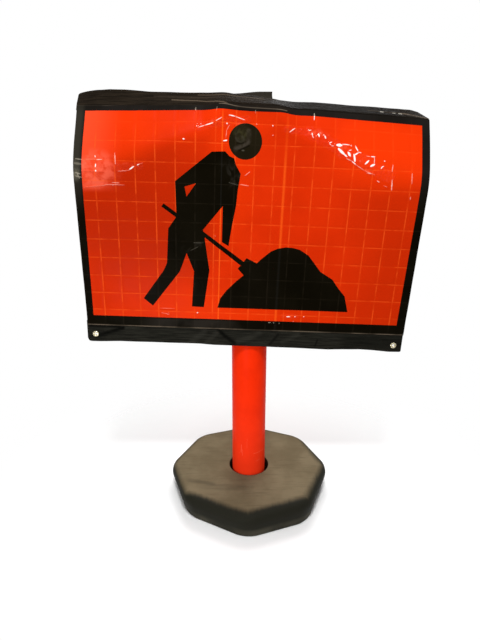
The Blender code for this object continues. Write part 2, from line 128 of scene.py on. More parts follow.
class Finish(Nodes):
    """A material of the sign. Settings are those of its shader that are the same all over."""

    def __init__(self, name, **settings):
        self.material = bpy.data.materials.new(name)
        self.material.use_nodes = True
        super().__init__(self.material.node_tree)
        self.shader = self.tree.nodes["Principled BSDF"]
        for socket, value in settings.items():
            self.shader.inputs[socket.replace("_", " ")].default_value = value

    def place(self):
        """Where a point is on the piece at rest, in metres."""
        return self.node("TexCoord", {}, {}, "Object")

    def noted(self, name, output="Fac"):
        """What is noted under a name at each point of a piece."""
        return self.node("Attribute", {"attribute_name": name}, {}, output)

    def stretched(self, place, x, y, z):
        return self.node("Mapping", {}, {"Vector": place, "Scale": (x, y, z)})

    def noise(self, place, scale, detail=2.0, roughness=0.5, twist=0.0):
        wanted = {"Vector": place, "Scale": scale, "Detail": detail, "Roughness": roughness}
        return self.node("TexNoise", {}, {**wanted, "Distortion": twist})

    def stroke(self, a, b, line, width):
        """1 along a line from one (a, b) to another, thinning to nothing beside and beyond it.
        The line and its half-width are in millimetres."""
        a1, b1, a2, b2, width = (number / 1000 for number in (*line, width))
        span = math.hypot(a2 - a1, b2 - b1)
        way_a, way_b = (a2 - a1) / span, (b2 - b1) / span
        a, b = a - a1, b - b1
        beside = (b * way_a - a * way_b).fn("ABSOLUTE")
        beyond = (a * way_a + b * way_b - span / 2).fn("ABSOLUTE") - span / 2
        return beside.between(width, width * 0.2) * beyond.between(0.0, -2 * width)

    def curve(self, a, b, points, width):
        """1 along a line through several (a, b) points, softly falling to 0 beside it. The points
        and the half-width are in millimetres."""
        nearest, width = None, width / 1000
        points = [(point_a / 1000, point_b / 1000) for point_a, point_b in points]
        for (a1, b1), (a2, b2) in zip(points, points[1:]):
            span = math.hypot(a2 - a1, b2 - b1)
            way_a, way_b = (a2 - a1) / span, (b2 - b1) / span
            from_a, from_b = a - a1, b - b1
            along = (from_a * way_a + from_b * way_b).fn("MAXIMUM", 0.0).fn("MINIMUM", span)
            beside = (from_a - along * way_a).fn("POWER", 2.0)
            away = beside + (from_b - along * way_b).fn("POWER", 2.0)
            nearest = away if nearest is None else nearest.fn("MINIMUM", away)
        return nearest.fn("SQRT").between(width, width * 0.1)

    def patch(self, a, b, oval):
        """1 in the middle of an oval place, softly falling to 0 at its reach. The oval is its
        middle and its reach along a and b, in millimetres."""
        middle_a, middle_b, reach_a, reach_b = (number / 1000 for number in oval)
        away = ((a - middle_a) / reach_a).fn("POWER", 2.0)
        away = away + ((b - middle_b) / reach_b).fn("POWER", 2.0)
        return away.between(1.0, 0.05)

    def tint(self, share, first, second):
        """The first colour where share is 0 and the second where it is 1."""
        first, second = ((*c, 1.0) if isinstance(c, tuple) else c for c in (first, second))
        return self.node("Mix", {"data_type": "RGBA"}, {0: share, 6: first, 7: second}, 2)

    def layered(self, colour, *layers):
        """Lays colours over a first one. Each is how much of it shows, and the colour itself."""
        for share, tone in layers:
            colour = self.tint(share, colour, tone)
        return colour

    def bump(self, height, depth, under=None):
        """Raises the surface by depth metres where height is 1."""
        wanted = {"Height": height, "Distance": depth, "Strength": 1.0}
        if under:
            wanted["Normal"] = under
        return self.node("Bump", {}, wanted)

    def feed(self, **patterns):
        for socket, pattern in patterns.items():
            self.tree.links.new(pattern.socket, self.shader.inputs[socket.replace("_", " ")])


def alone(made):
    """Makes a piece the only one picked, so that operators act on nothing else."""
    bpy.ops.object.select_all(action="DESELECT")
    made.select_set(True)
    bpy.context.view_layer.objects.active = made


def added(name, primitive, scale=(1.0, 1.0, 1.0), **sizes):
    """Adds a primitive with nothing else picked, names it and gives it its scale."""
    bpy.ops.object.select_all(action="DESELECT")
    primitive(**sizes)
    made = bpy.context.object
    made.name = name
    made.scale = scale
    bpy.ops.object.transform_apply(location=True, rotation=True, scale=True)
    return made


def pick(kind, wanted):
    """In edit mode, picks the corners, edges or faces that are wanted, and nothing else."""
    bpy.ops.mesh.select_mode(type=kind)
    bpy.ops.mesh.select_all(action="DESELECT")
    shape = bmesh.from_edit_mesh(bpy.context.object.data)
    for part in {"VERT": shape.verts, "EDGE": shape.edges, "FACE": shape.faces}[kind]:
        if wanted(part):
            part.select_set(True)
    bmesh.update_edit_mesh(bpy.context.object.data)


def modified(made, kind, **settings):
    """Adds a modifier, sets it and applies it."""
    step = made.modifiers.new(kind.lower(), kind)
    for name, value in settings.items():
        setattr(step, name, value)
    alone(made)
    bpy.ops.object.modifier_apply(modifier=step.name)
    return made


def turned(name, outline, steps=96):
    """An outline of (radius, height) corners spun about the upright axis, as on a lathe."""
    made = added(name, bpy.ops.mesh.primitive_circle_add, vertices=len(outline))
    for corner, (radius, height) in zip(made.data.vertices, outline):
        corner.co = (radius, 0.0, height)
    bpy.ops.object.mode_set(mode="EDIT")
    pick("EDGE", lambda edge: True)
    bpy.ops.mesh.spin(steps=steps, angle=2 * math.pi, center=(0, 0, 0), axis=(0, 0, 1))
    bpy.ops.mesh.select_all(action="SELECT")
    bpy.ops.mesh.remove_doubles(threshold=0.00002)
    bpy.ops.mesh.normals_make_consistent(inside=False)
    bpy.ops.object.mode_set(mode="OBJECT")
    return made


def rounded(made, width, segments=3):
    """Rounds every edge that turns by more than 40 degrees."""
    settings = {"limit_method": "ANGLE", "angle_limit": math.radians(40)}
    modified(made, "BEVEL", width=width, segments=segments, **settings)


def finished(made, finishes, slot, body, *nodes, sharp=35):
    """Smooths a piece, gives it its finishes and its body, and hides the imported nodes that it
    stands for.
    """
    alone(made)
    bpy.ops.object.shade_smooth_by_angle(angle=math.radians(sharp))
    for finish in finishes:
        made.data.materials.append(finish.material)
    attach(made, body)
    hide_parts(*nodes)


nylon = Finish("foot_nylon", Specular_IOR_Level=0.35)
grain = nylon.noise(nylon.place(), 900.0, 3.0)
scuff = nylon.noise(nylon.stretched(nylon.place(), 1.0, 6.0, 6.0), 22.0, 6.0, 0.7)
nylon.feed(
    Base_Color=nylon.tint(scuff.between(0.58, 0.75, 0.0, 0.6), NYLON_BLACK, (0.05, 0.047, 0.04)),
    Roughness=scuff.between(0.4, 0.7, 0.42, 0.62),
    Normal=nylon.bump(grain, 0.00008),
)

spigot_inside = SPIGOT_R - MOULD_WALL
spigot_top = FLANGE_T + SPIGOT_H
foot = turned(
    "moulded_foot",
    [
        (SPIGOT_R, spigot_top),
        (SPIGOT_R, FLANGE_T),
        (FLANGE_R, FLANGE_T),
        (FLANGE_R, 0.0),
        (spigot_inside, 0.0),
        (spigot_inside, spigot_top),
    ],
)
rounded(foot, MOULD_EDGE)
finished(foot, [nylon], "foot_plastic", "foot", "post_foot")


# Rubber base. An eight-sided weight of pressed rubber crumb, about 500 mm across, with a lipped
# hole that drops over the tube and ribs underneath. Its top has a skin of pale road dust, which
# the worn edges and the sides don't hold.
BASE_R = 0.2622
BASE_FOOT_R = 0.2466
BASE_ASIDE = 0.0022
BASE_TURN = math.radians(-2.4)
# For each corner, how far its top stands out and how many degrees it is turned, then its foot
CORNER_SHIFTS = [
    (0.0045, 3.4, -0.0020, 2.4), (0.0035, 0.8, 0.0, 0.0), (0.0, 0.4, 0.0, 0.0),
    (0.0040, 0.6, 0.0, 0.0), (0.0055, -0.5, 0.0, -1.4), (0.0, -2.4, -0.0050, -3.6),
    (0.0, 0.0, 0.0020, -0.2), (0.0, 0.8, 0.0020, 0.2),
]
BASE_H = 0.0750
CORNER_ROUND = 0.0350
TOP_ROUND = 0.0300
FOOT_ROUND = 0.0040
BASE_HOLE_R = 0.0625
BASE_LIP = 0.0050
LIP_STEPS = 6
HOLE_ASIDE = 0.0012
HOLE_BACK = 0.0080
RECESS_R = 0.1030
RECESS_H = 0.0073
POCKET_COUNT = 16
POCKET_IN_R = 0.1230
POCKET_OUT_R = 0.2040
POCKET_DEPTH = 0.0400
POCKET_DRAFT = 0.0030
POCKET_ROUND = 0.0050
RIB_T = 0.0160
RUBBER_DARK = (0.0108, 0.0104, 0.0066)
RUBBER_SCUFF = (0.27, 0.21, 0.13)
# How far the dust reaches from the middle towards each of the eight sides
DUST_REACHES = [0.2270, 0.2270, 0.2270, 0.2280, 0.2300, 0.2060, 0.2085, 0.2210]


def middle(edge):
    return (edge.verts[0].co + edge.verts[1].co) / 2


def cut(made, tool, operation="DIFFERENCE"):
    """Cuts a piece with a tool, or joins the tool to it, and throws the tool away."""
    modified(made, "BOOLEAN", object=tool, operation=operation, solver="EXACT")
    bpy.data.objects.remove(tool)


def joined(made, others):
    """Makes several pieces one."""
    alone(made)
    for other in others:
        other.select_set(True)
    bpy.ops.object.join()


rubber = Finish("pressed_rubber", Specular_IOR_Level=0.06)
spot = rubber.place()
upward = rubber.node("NewGeometry", {}, {}, "Normal").part("Z")
crumb = rubber.noise(spot, 420.0, 4.0, 0.65)
blotch = rubber.noise(spot, 9.0, 4.0, 0.55)
streak = rubber.noise(rubber.stretched(spot, 3.0, 34.0, 1.0), 4.0, 5.0, 0.6)
scrape = rubber.noise(rubber.stretched(spot, 22.0, 3.5, 9.0), 5.0, 4.0, 0.55)
across, back = spot.part("X"), spot.part("Y")
beyond = None
for k, reach in enumerate(DUST_REACHES):
    turn = BASE_TURN + math.pi / 4 * (k + 0.5)
    out = across * math.cos(turn) + back * math.sin(turn) - reach
    beyond = out if beyond is None else beyond.fn("MAXIMUM", out)
ragged = (blotch - 0.5) * 0.018 + (scrape - 0.5) * 0.010
dust = (beyond + ragged).between(0.0125, -0.0150) * upward.between(0.45, 0.90)
# Two darker streaks across the front of the dusty top
dark_streaks = rubber.stroke(across, back, (-205, -80, -95, -103), 13) * 0.55
dark_streaks = dark_streaks + 0.35 * rubber.stroke(across, back, (-170, -115, 20, -118), 20)
low_band = spot.part("Z").between(0.034, 0.016) * blotch.between(0.36, 0.60, 0.20, 1.0)
dusty = rubber.layered(
    (0.122, 0.094, 0.054),
    (blotch.between(0.35, 0.68), (0.165, 0.130, 0.078)),
    (streak.between(0.50, 0.72, 0.0, 0.45), (0.092, 0.071, 0.041)),
    (crumb.between(0.60, 0.80, 0.0, 0.30), RUBBER_SCUFF),
    (dark_streaks * streak.between(0.3, 0.6, 0.5, 1.0), (0.062, 0.050, 0.032)),
)
rubber.feed(
    Base_Color=rubber.layered(RUBBER_DARK, (low_band * 0.80, (0.052, 0.047, 0.032)), (dust, dusty)),
    Roughness=dust.between(0.0, 1.0, 0.62, 0.92),
    Normal=rubber.bump(crumb, 0.00035, rubber.bump(blotch, 0.0012)),
)

base = added(
    "octagon_base",
    bpy.ops.mesh.primitive_cone_add,
    vertices=8,
    radius1=BASE_FOOT_R,
    radius2=BASE_R,
    depth=BASE_H,
    location=(0, 0, BASE_H / 2),
)
for corner in base.data.vertices:
    turn = math.atan2(corner.co.y, corner.co.x)
    shift = CORNER_SHIFTS[round(turn / (math.pi / 4)) % 8]
    out, twist = shift[:2] if corner.co.z > BASE_H / 2 else shift[2:]
    radius, turn = math.hypot(*corner.co.xy) + out, turn + math.radians(twist)
    corner.co.xy = (radius * math.cos(turn), radius * math.sin(turn))
bpy.ops.object.mode_set(mode="EDIT")
pick("EDGE", lambda edge: abs(middle(edge).z - BASE_H / 2) < BASE_H / 4)
bpy.ops.mesh.bevel(offset=CORNER_ROUND, segments=8, affect="EDGES")
pick("EDGE", lambda edge: middle(edge).z > BASE_H * 0.99)
bpy.ops.mesh.bevel(offset=TOP_ROUND, segments=8, affect="EDGES")
pick("EDGE", lambda edge: middle(edge).z < BASE_H * 0.01)
bpy.ops.mesh.bevel(offset=FOOT_ROUND, segments=3, affect="EDGES")
bpy.ops.object.mode_set(mode="OBJECT")

lip = []
for k in range(LIP_STEPS + 1):
    turn = math.pi / 2 * k / LIP_STEPS
    out, down = BASE_LIP * (1 - math.sin(turn)), BASE_LIP * (1 - math.cos(turn))
    lip.append((BASE_HOLE_R + out, BASE_H - down))
above, below = BASE_H + 0.01, -0.01
base.data.transform(Matrix.Translation((BASE_ASIDE, 0, 0)) @ Matrix.Rotation(BASE_TURN, 4, "Z"))
hole = [(0.0, above), (BASE_HOLE_R + BASE_LIP, above), *lip, (BASE_HOLE_R, below), (0.0, below)]
hole = turned("base_hole", hole)
hole.data.transform(Matrix.Translation((HOLE_ASIDE, HOLE_BACK, 0)))
cut(base, hole)
recess = [(0.0, RECESS_H), (RECESS_R, RECESS_H), (RECESS_R, below), (0.0, below)]
cut(base, turned("base_recess", recess))

sector = 2 * math.pi / POCKET_COUNT
pockets = []
for k in range(POCKET_COUNT):
    pocket = added(f"base_pocket_{k}", bpy.ops.mesh.primitive_cube_add, size=1.0)
    turn = Matrix.Rotation(sector * (k + 0.5) + BASE_TURN, 3, "Z")
    for corner in pocket.data.vertices:
        deep = corner.co.z > 0
        out = POCKET_OUT_R if corner.co.x > 0 else POCKET_IN_R
        half = out * math.tan(sector / 2) - RIB_T / 2
        if deep:
            out += -POCKET_DRAFT if corner.co.x > 0 else POCKET_DRAFT
            half -= POCKET_DRAFT
        across = half if corner.co.y > 0 else -half
        corner.co = turn @ Vector((out, across, POCKET_DEPTH if deep else below))
    rounded(pocket, POCKET_ROUND)
    pockets.append(pocket)
joined(pockets[0], pockets)
cut(base, pockets[0])
finished(base, [rubber], "recycled_rubber", "base", "rubber_base")


# Tube. A length of red-orange plastic pipe, 105 mm across with a 4 mm wall, cut square at both
# ends. Its skin is satin, with fine marks from stacking and rubbed places near the foot.
TUBE_R = 0.0525
TUBE_WALL = 0.0040
TUBE_LOW = 0.0073
TUBE_TOP = 1.1077
TUBE_EDGE = 0.0008
POST_ORANGE = (0.93, 0.028, 0.0020)
POST_DEEP = (0.86, 0.023, 0.0015)
POST_RUB = (0.98, 0.150, 0.080)
# Painted light: a paler orange for the foot of the tube, where the lamps light it less
POST_FOOT_LIGHT = (0.97, 0.052, 0.0150)

post_plastic = Finish("post_plastic", Specular_IOR_Level=0.022)
spot = post_plastic.place()
height = spot.part("Z")
mottle = post_plastic.noise(spot, 14.0, 3.0)
draw = post_plastic.noise(post_plastic.stretched(spot, 60.0, 60.0, 1.2), 3.0, 4.0, 0.6)
mark = post_plastic.noise(post_plastic.stretched(spot, 26.0, 26.0, 130.0), 1.6, 5.0, 0.75)
slant = post_plastic.noise(post_plastic.stretched(spot, 90.0, 30.0, 55.0), 1.4, 3.0, 0.6)
near_foot = height.between(0.42, 0.10)
rubbed = (mark.between(0.66, 0.76) + slant.between(0.70, 0.78)) * (0.10 + near_foot * 0.34)
for line, width, share in (
    ((-24.5, 150, -23.5, 182), 1.6, 0.45),
    ((-20, 140, -21.5, 166), 1.2, 0.35),
    ((-6, 170, -6.5, 196), 1.0, 0.25),
    ((13, 149.5, 48, 152), 1.4, 0.50),
    ((20, 120, 38, 124), 3.0, 0.20),
):
    rubbed = rubbed.fn("MAXIMUM", post_plastic.stroke(spot.part("X"), height, line, width) * share)
post_plastic.feed(
    Base_Color=post_plastic.layered(
        POST_DEEP,
        (mottle.between(0.35, 0.65), POST_ORANGE),
        # painted light, paling the tube towards its foot
        (height.between(0.40, 0.08, 0.0, 0.50), POST_FOOT_LIGHT),
        (rubbed, POST_RUB),
    ),
    Roughness=rubbed * 0.25 + draw.between(0.3, 0.7, 0.30, 0.42),
    Normal=post_plastic.bump(draw, 0.00010, post_plastic.bump(mottle, 0.0006)),
)

tube_bore = TUBE_R - TUBE_WALL
tube = turned(
    "pipe",
    [(TUBE_R, TUBE_TOP), (TUBE_R, TUBE_LOW), (tube_bore, TUBE_LOW), (tube_bore, TUBE_TOP)],
    128,
)
bpy.ops.object.mode_set(mode="EDIT")
pick("EDGE", lambda edge: abs(middle(edge).z - (TUBE_LOW + TUBE_TOP) / 2) < TUBE_TOP / 4)
bpy.ops.mesh.subdivide(number_cuts=30)
bpy.ops.object.mode_set(mode="OBJECT")
rounded(tube, TUBE_EDGE, 2)
finished(tube, [post_plastic], "post_plastic", "post", "post_tube")


# Grip. The T-shaped top of the post: a plug that is pressed into the tube, a shoulder on the
# tube's end, a flat neck and a cross bar that carries the cloth head. It is moulded in the
# tube's own colour.
SHOULDER_T = 0.0050
NECK_H = 0.0400
NECK_FOOT_W = 0.0560
NECK_W = 0.0380
NECK_T = 0.0170
NECK_ROUND = 0.0040
BAR_LENGTH = 0.1000
BAR_H = 0.0320
BAR_T = 0.0200
BAR_ROUND = 0.0080
SHOULDER_ROUND = 0.0012
PLUG_R = 0.0482
PLUG_H = 0.0600
SEAT = 0.0003
SINK = 0.0030

grip_low = TUBE_TOP + SEAT
neck_low = grip_low + SHOULDER_T - SINK
neck_high = grip_low + SHOULDER_T + NECK_H + SINK
bar_middle = grip_low + SHOULDER_T + NECK_H + BAR_H / 2
plug_inside = PLUG_R - MOULD_WALL
grip = turned(
    "grip",
    [
        (0.0, grip_low + SHOULDER_T),
        (TUBE_R, grip_low + SHOULDER_T),
        (TUBE_R, grip_low),
        (PLUG_R, grip_low),
        (PLUG_R, grip_low - PLUG_H),
        (plug_inside, grip_low - PLUG_H),
        (plug_inside, grip_low),
        (0.0, grip_low),
    ],
)
rounded(grip, SHOULDER_ROUND)
neck = added(
    "grip_neck",
    bpy.ops.mesh.primitive_cube_add,
    size=1.0,
    scale=(NECK_FOOT_W, NECK_T, neck_high - neck_low),
    location=(0, 0, (neck_low + neck_high) / 2),
)
bpy.ops.object.mode_set(mode="EDIT")
pick("FACE", lambda face: face.normal.z > 0.9)
bpy.ops.transform.resize(value=(NECK_W / NECK_FOOT_W, 1, 1))
bpy.ops.object.mode_set(mode="OBJECT")
rounded(neck, NECK_ROUND, 4)
bar = added(
    "grip_bar",
    bpy.ops.mesh.primitive_cube_add,
    size=1.0,
    scale=(BAR_LENGTH, BAR_T, BAR_H),
    location=(0, 0, bar_middle),
)
rounded(bar, BAR_ROUND, 6)
cut(grip, neck, "UNION")
cut(grip, bar, "UNION")
finished(grip, [post_plastic], "post_plastic", "post", "t_top")


# Printed face. A 900 x 600 mm sheet of clear and orange film, welded together in 50 mm cells and
# printed in black with its border and the worker-and-spoil figure. It hangs 2 degrees crooked,
# and its upper corners fall back over two creases that run down and out from the grip's ends.
POST_H = 1.1850
FACE_W = 0.9000
FACE_H = 0.6000
FACE_T = 0.0010
HALF_W = FACE_W / 2
FACE_Y = -0.0608
FACE_DOWN = 0.0260
SHEET_LOW = POST_H - FACE_DOWN - FACE_H
FACE_LOW = 0.0032
HANG = math.radians(2.1)
CREASE_R = 0.0220
EDGE_CREASE_R = 0.0560
EDGE_CREASE_U = 0.2400
EDGE_CREASE_SPAN = 0.1800
CREASE_MIDDLE_U = -0.0100
CREASE_CLEAR = 0.0450
CREASE_STEP = 0.0520
CREASE_STEP_SPAN = 0.0800
LEFT_CREASE = math.tan(math.radians(17.6))
RIGHT_CREASE = math.tan(math.radians(17.4))
LEAN_DEG = 25.5
LEFT_SWELL_DEG = 5.0
RIGHT_SWELL_DEG = 2.9
SWELL_RISE = 0.0600
TOP_HEM_H = 0.0420
HEM_TURN = 0.0080
# How many degrees the upper hem leans back at places along it
HEM_LEANS = [
    (-0.450, 41), (-0.430, 32), (-0.400, 23), (-0.370, 17), (-0.330, 20), (-0.270, 31),
    (-0.190, 37), (-0.130, 39), (-0.100, 44), (-0.060, 51), (-0.025, 53), (0.060, 65),
    (0.110, 58), (0.150, 56), (0.200, 57), (0.370, 55), (0.410, 57), (0.430, 62), (0.450, 76),
]
LEFT_BULGE = 0.0020
RIGHT_BULGE = 0.0030
BULGE_U = 0.4260
BULGE_V = 0.3800
BULGE_RISE = 0.1400
SHRINK = 0.9900
RAISE = 0.0040
SAG = 0.0025
SAG_U = 0.0900
SAG_LEFT_SPAN = 0.0600
SAG_RIGHT_SPAN = 0.0700
SAG_V = 0.4200
NET_STEP = 0.0010


def ease(t):
    """0 below 0, 1 above 1 and a soft S between, for a number or an array."""
    t = np.clip(t, 0.0, 1.0)
    return t * t * (3 - 2 * t)


def mix(a, b, t):
    return a + (b - a) * t


def lean(u, v):
    """How far the hung sheet leans back at (u, v) of the flat one, in degrees."""
    out = np.abs(u - CREASE_MIDDLE_U)
    left = u < CREASE_MIDDLE_U
    swell = np.where(
        left,
        LEFT_SWELL_DEG * out / (HALF_W + CREASE_MIDDLE_U),
        RIGHT_SWELL_DEG * out / (HALF_W - CREASE_MIDDLE_U),
    )
    step = CREASE_STEP * ease((out - CREASE_CLEAR) / CREASE_STEP_SPAN)
    crease = FACE_H + CREASE_R - step - out * np.where(left, LEFT_CREASE, RIGHT_CREASE)
    to_edge = ease((out - EDGE_CREASE_U) / EDGE_CREASE_SPAN)
    radius = mix(CREASE_R, EDGE_CREASE_R, to_edge)
    folded = ease((v - crease + radius) / (2 * radius))
    hem = np.interp(u, *zip(*HEM_LEANS))
    face = mix(-swell * ease(v / SWELL_RISE), LEAN_DEG, folded)
    return mix(face, hem, ease((v - FACE_H) / HEM_TURN))


# The lean is added up once over a fine net of the whole sheet, and every cloth point is then
# read from that net
net_u = np.arange(-HALF_W, HALF_W + NET_STEP / 2, NET_STEP)[:, None]
net_v = np.arange(0.0, FACE_H + TOP_HEM_H + 3 * NET_STEP, NET_STEP)[None, :]
net_lean = np.radians(lean(net_u, net_v))
half_way = np.radians(lean(net_u, net_v[:, :-1] + NET_STEP / 2))
net_back = np.zeros_like(net_lean)
net_up = np.zeros_like(net_lean)
net_back[:, 1:] = np.cumsum(np.sin(half_way), 1) * NET_STEP
net_up[:, 1:] = np.cumsum(np.cos(half_way), 1) * NET_STEP


def read_net(net, u, v):
    i = np.clip((u + HALF_W) / NET_STEP, 0, net.shape[0] - 1.001)
    j = np.clip(v / NET_STEP, 0, net.shape[1] - 1.001)
    a, b = i.astype(int), j.astype(int)
    low = mix(net[a, b], net[a + 1, b], i - a)
    high = mix(net[a, b + 1], net[a + 1, b + 1], i - a)
    return mix(low, high, j - b)


def hung(u, v, off=0.0):
    """Where points (u, v) of the flat sheet hang, each off metres behind the face's middle."""
    u, v, off = np.broadcast_arrays(np.asarray(u, float), v, off)
    below_face = v < 0
    angle = np.where(below_face, 0.0, read_net(net_lean, u, v))
    back = np.where(below_face, 0.0, read_net(net_back, u, v)) + off * np.cos(angle)
    up = np.where(below_face, v, read_net(net_up, u, v)) - off * np.sin(angle)
    over_grip = ease((u + SAG_U) / SAG_LEFT_SPAN) * (1 - ease((u - SAG_U) / SAG_RIGHT_SPAN))
    up = up * SHRINK + RAISE - SAG * over_grip * ease((v - SAG_V) / (FACE_H - SAG_V))
    above = up - FACE_H / 2
    at_end = ease((np.abs(u) - BULGE_U) / (HALF_W - BULGE_U))
    bulge = np.where(u < 0, -LEFT_BULGE, RIGHT_BULGE) * at_end
    u = u + bulge * ease((v - BULGE_V) / BULGE_RISE)
    x = u * math.cos(HANG) + above * math.sin(HANG)
    z = FACE_H / 2 + above * math.cos(HANG) - u * math.sin(HANG)
    return np.stack([x, FACE_Y + back, SHEET_LOW + z], axis=-1)


def corners(made):
    """The places of a piece's corners as an array."""
    found = np.zeros(len(made.data.vertices) * 3)
    made.data.vertices.foreach_get("co", found)
    return found.reshape(-1, 3)


def laid_out(made, places, flat):
    """Moves a piece's corners to their places and notes where each lay on the flat cloth."""
    made.data.vertices.foreach_set("co", np.asarray(places, float).ravel())
    note = made.data.attributes.new("flat", "FLOAT_VECTOR", "POINT")
    note.data.foreach_set("vector", np.asarray(flat, float).ravel())
    made.data.update()
    return made


def thickened(made, thickness, **settings):
    """Gives a sheet its thickness, half of it to each side."""
    settings = {"offset": 0.0, "use_even_offset": True, **settings}
    return modified(made, "SOLIDIFY", thickness=thickness, **settings)


# The black print, in millimetres from the middle of the face's lower edge. The figure is the
# common road-works one, with a plain disc for its head, given by its middle and half-sizes
BORDER_MM = [(-431, 33), (-429, 584.4), (-165, 586.3), (130, 584.3), (432, 581.5), (426, 33)]
HEAD_MM = (-22.0, 512.2, 42.0, 44.4)
HEAD_STEPS = 64
WORKER_MM = [
    (-106, 484), (-72, 486), (-61, 475), (-49, 470), (-44, 454), (-31, 432), (-37, 392),
    (-40, 352), (-49, 300), (-57, 243.5), (-75, 254), (-75, 349), (-126, 285), (-121, 263),
    (-107, 175), (-121, 68), (-154, 69), (-149, 171), (-169, 221), (-187, 170), (-263, 67.5),
    (-288, 89), (-232, 170), (-222, 192), (-217, 287), (-195, 319), (-198, 409),
]
ARM_GAP_MM = [(-174, 396), (-169, 371), (-145, 405)]
HANDLE_MM = [
    (-234, 344), (-228, 352), (-193, 327), (-124, 280.4), (-15, 202), (-22, 190.4), (-128, 270.6),
    (-197, 317),
]
BLADE_MM = [(-7, 212), (-30, 182), (-13, 163), (-4, 155), (28, 190), (19, 200)]
SPOIL_MM = [
    (-83, 67.5), (-76, 95), (-59, 119), (-32, 147), (-13, 164), (33, 211), (58, 233), (76, 241.5),
    (97, 246), (116, 245.3), (135, 241), (160, 226), (196, 182), (231, 161), (249, 137), (269, 115),
    (282.5, 68),
]


def head_outline():
    x, y, across, up = HEAD_MM
    turns = [2 * math.pi * k / HEAD_STEPS for k in range(HEAD_STEPS)]
    return [(x + across * math.cos(t), y + up * math.sin(t)) for t in turns]


printed = [head_outline(), WORKER_MM, HANDLE_MM, BLADE_MM, SPOIL_MM]
printed = [np.array(outline) / 1000 for outline in printed]
arm_gap = np.array(ARM_GAP_MM) / 1000
orange_edge = np.array(BORDER_MM) / 1000


def inside(outline, x, y):
    """Which of the points lie inside an outline."""
    found = np.zeros(len(x), bool)
    for (ax, ay), (bx, by) in zip(outline, np.roll(outline, 1, axis=0)):
        crossed = (ay > y) != (by > y)
        reach = ax + (bx - ax) * (y - ay) / (by - ay if by != ay else 1.0)
        found ^= crossed & (x < reach)
    return found
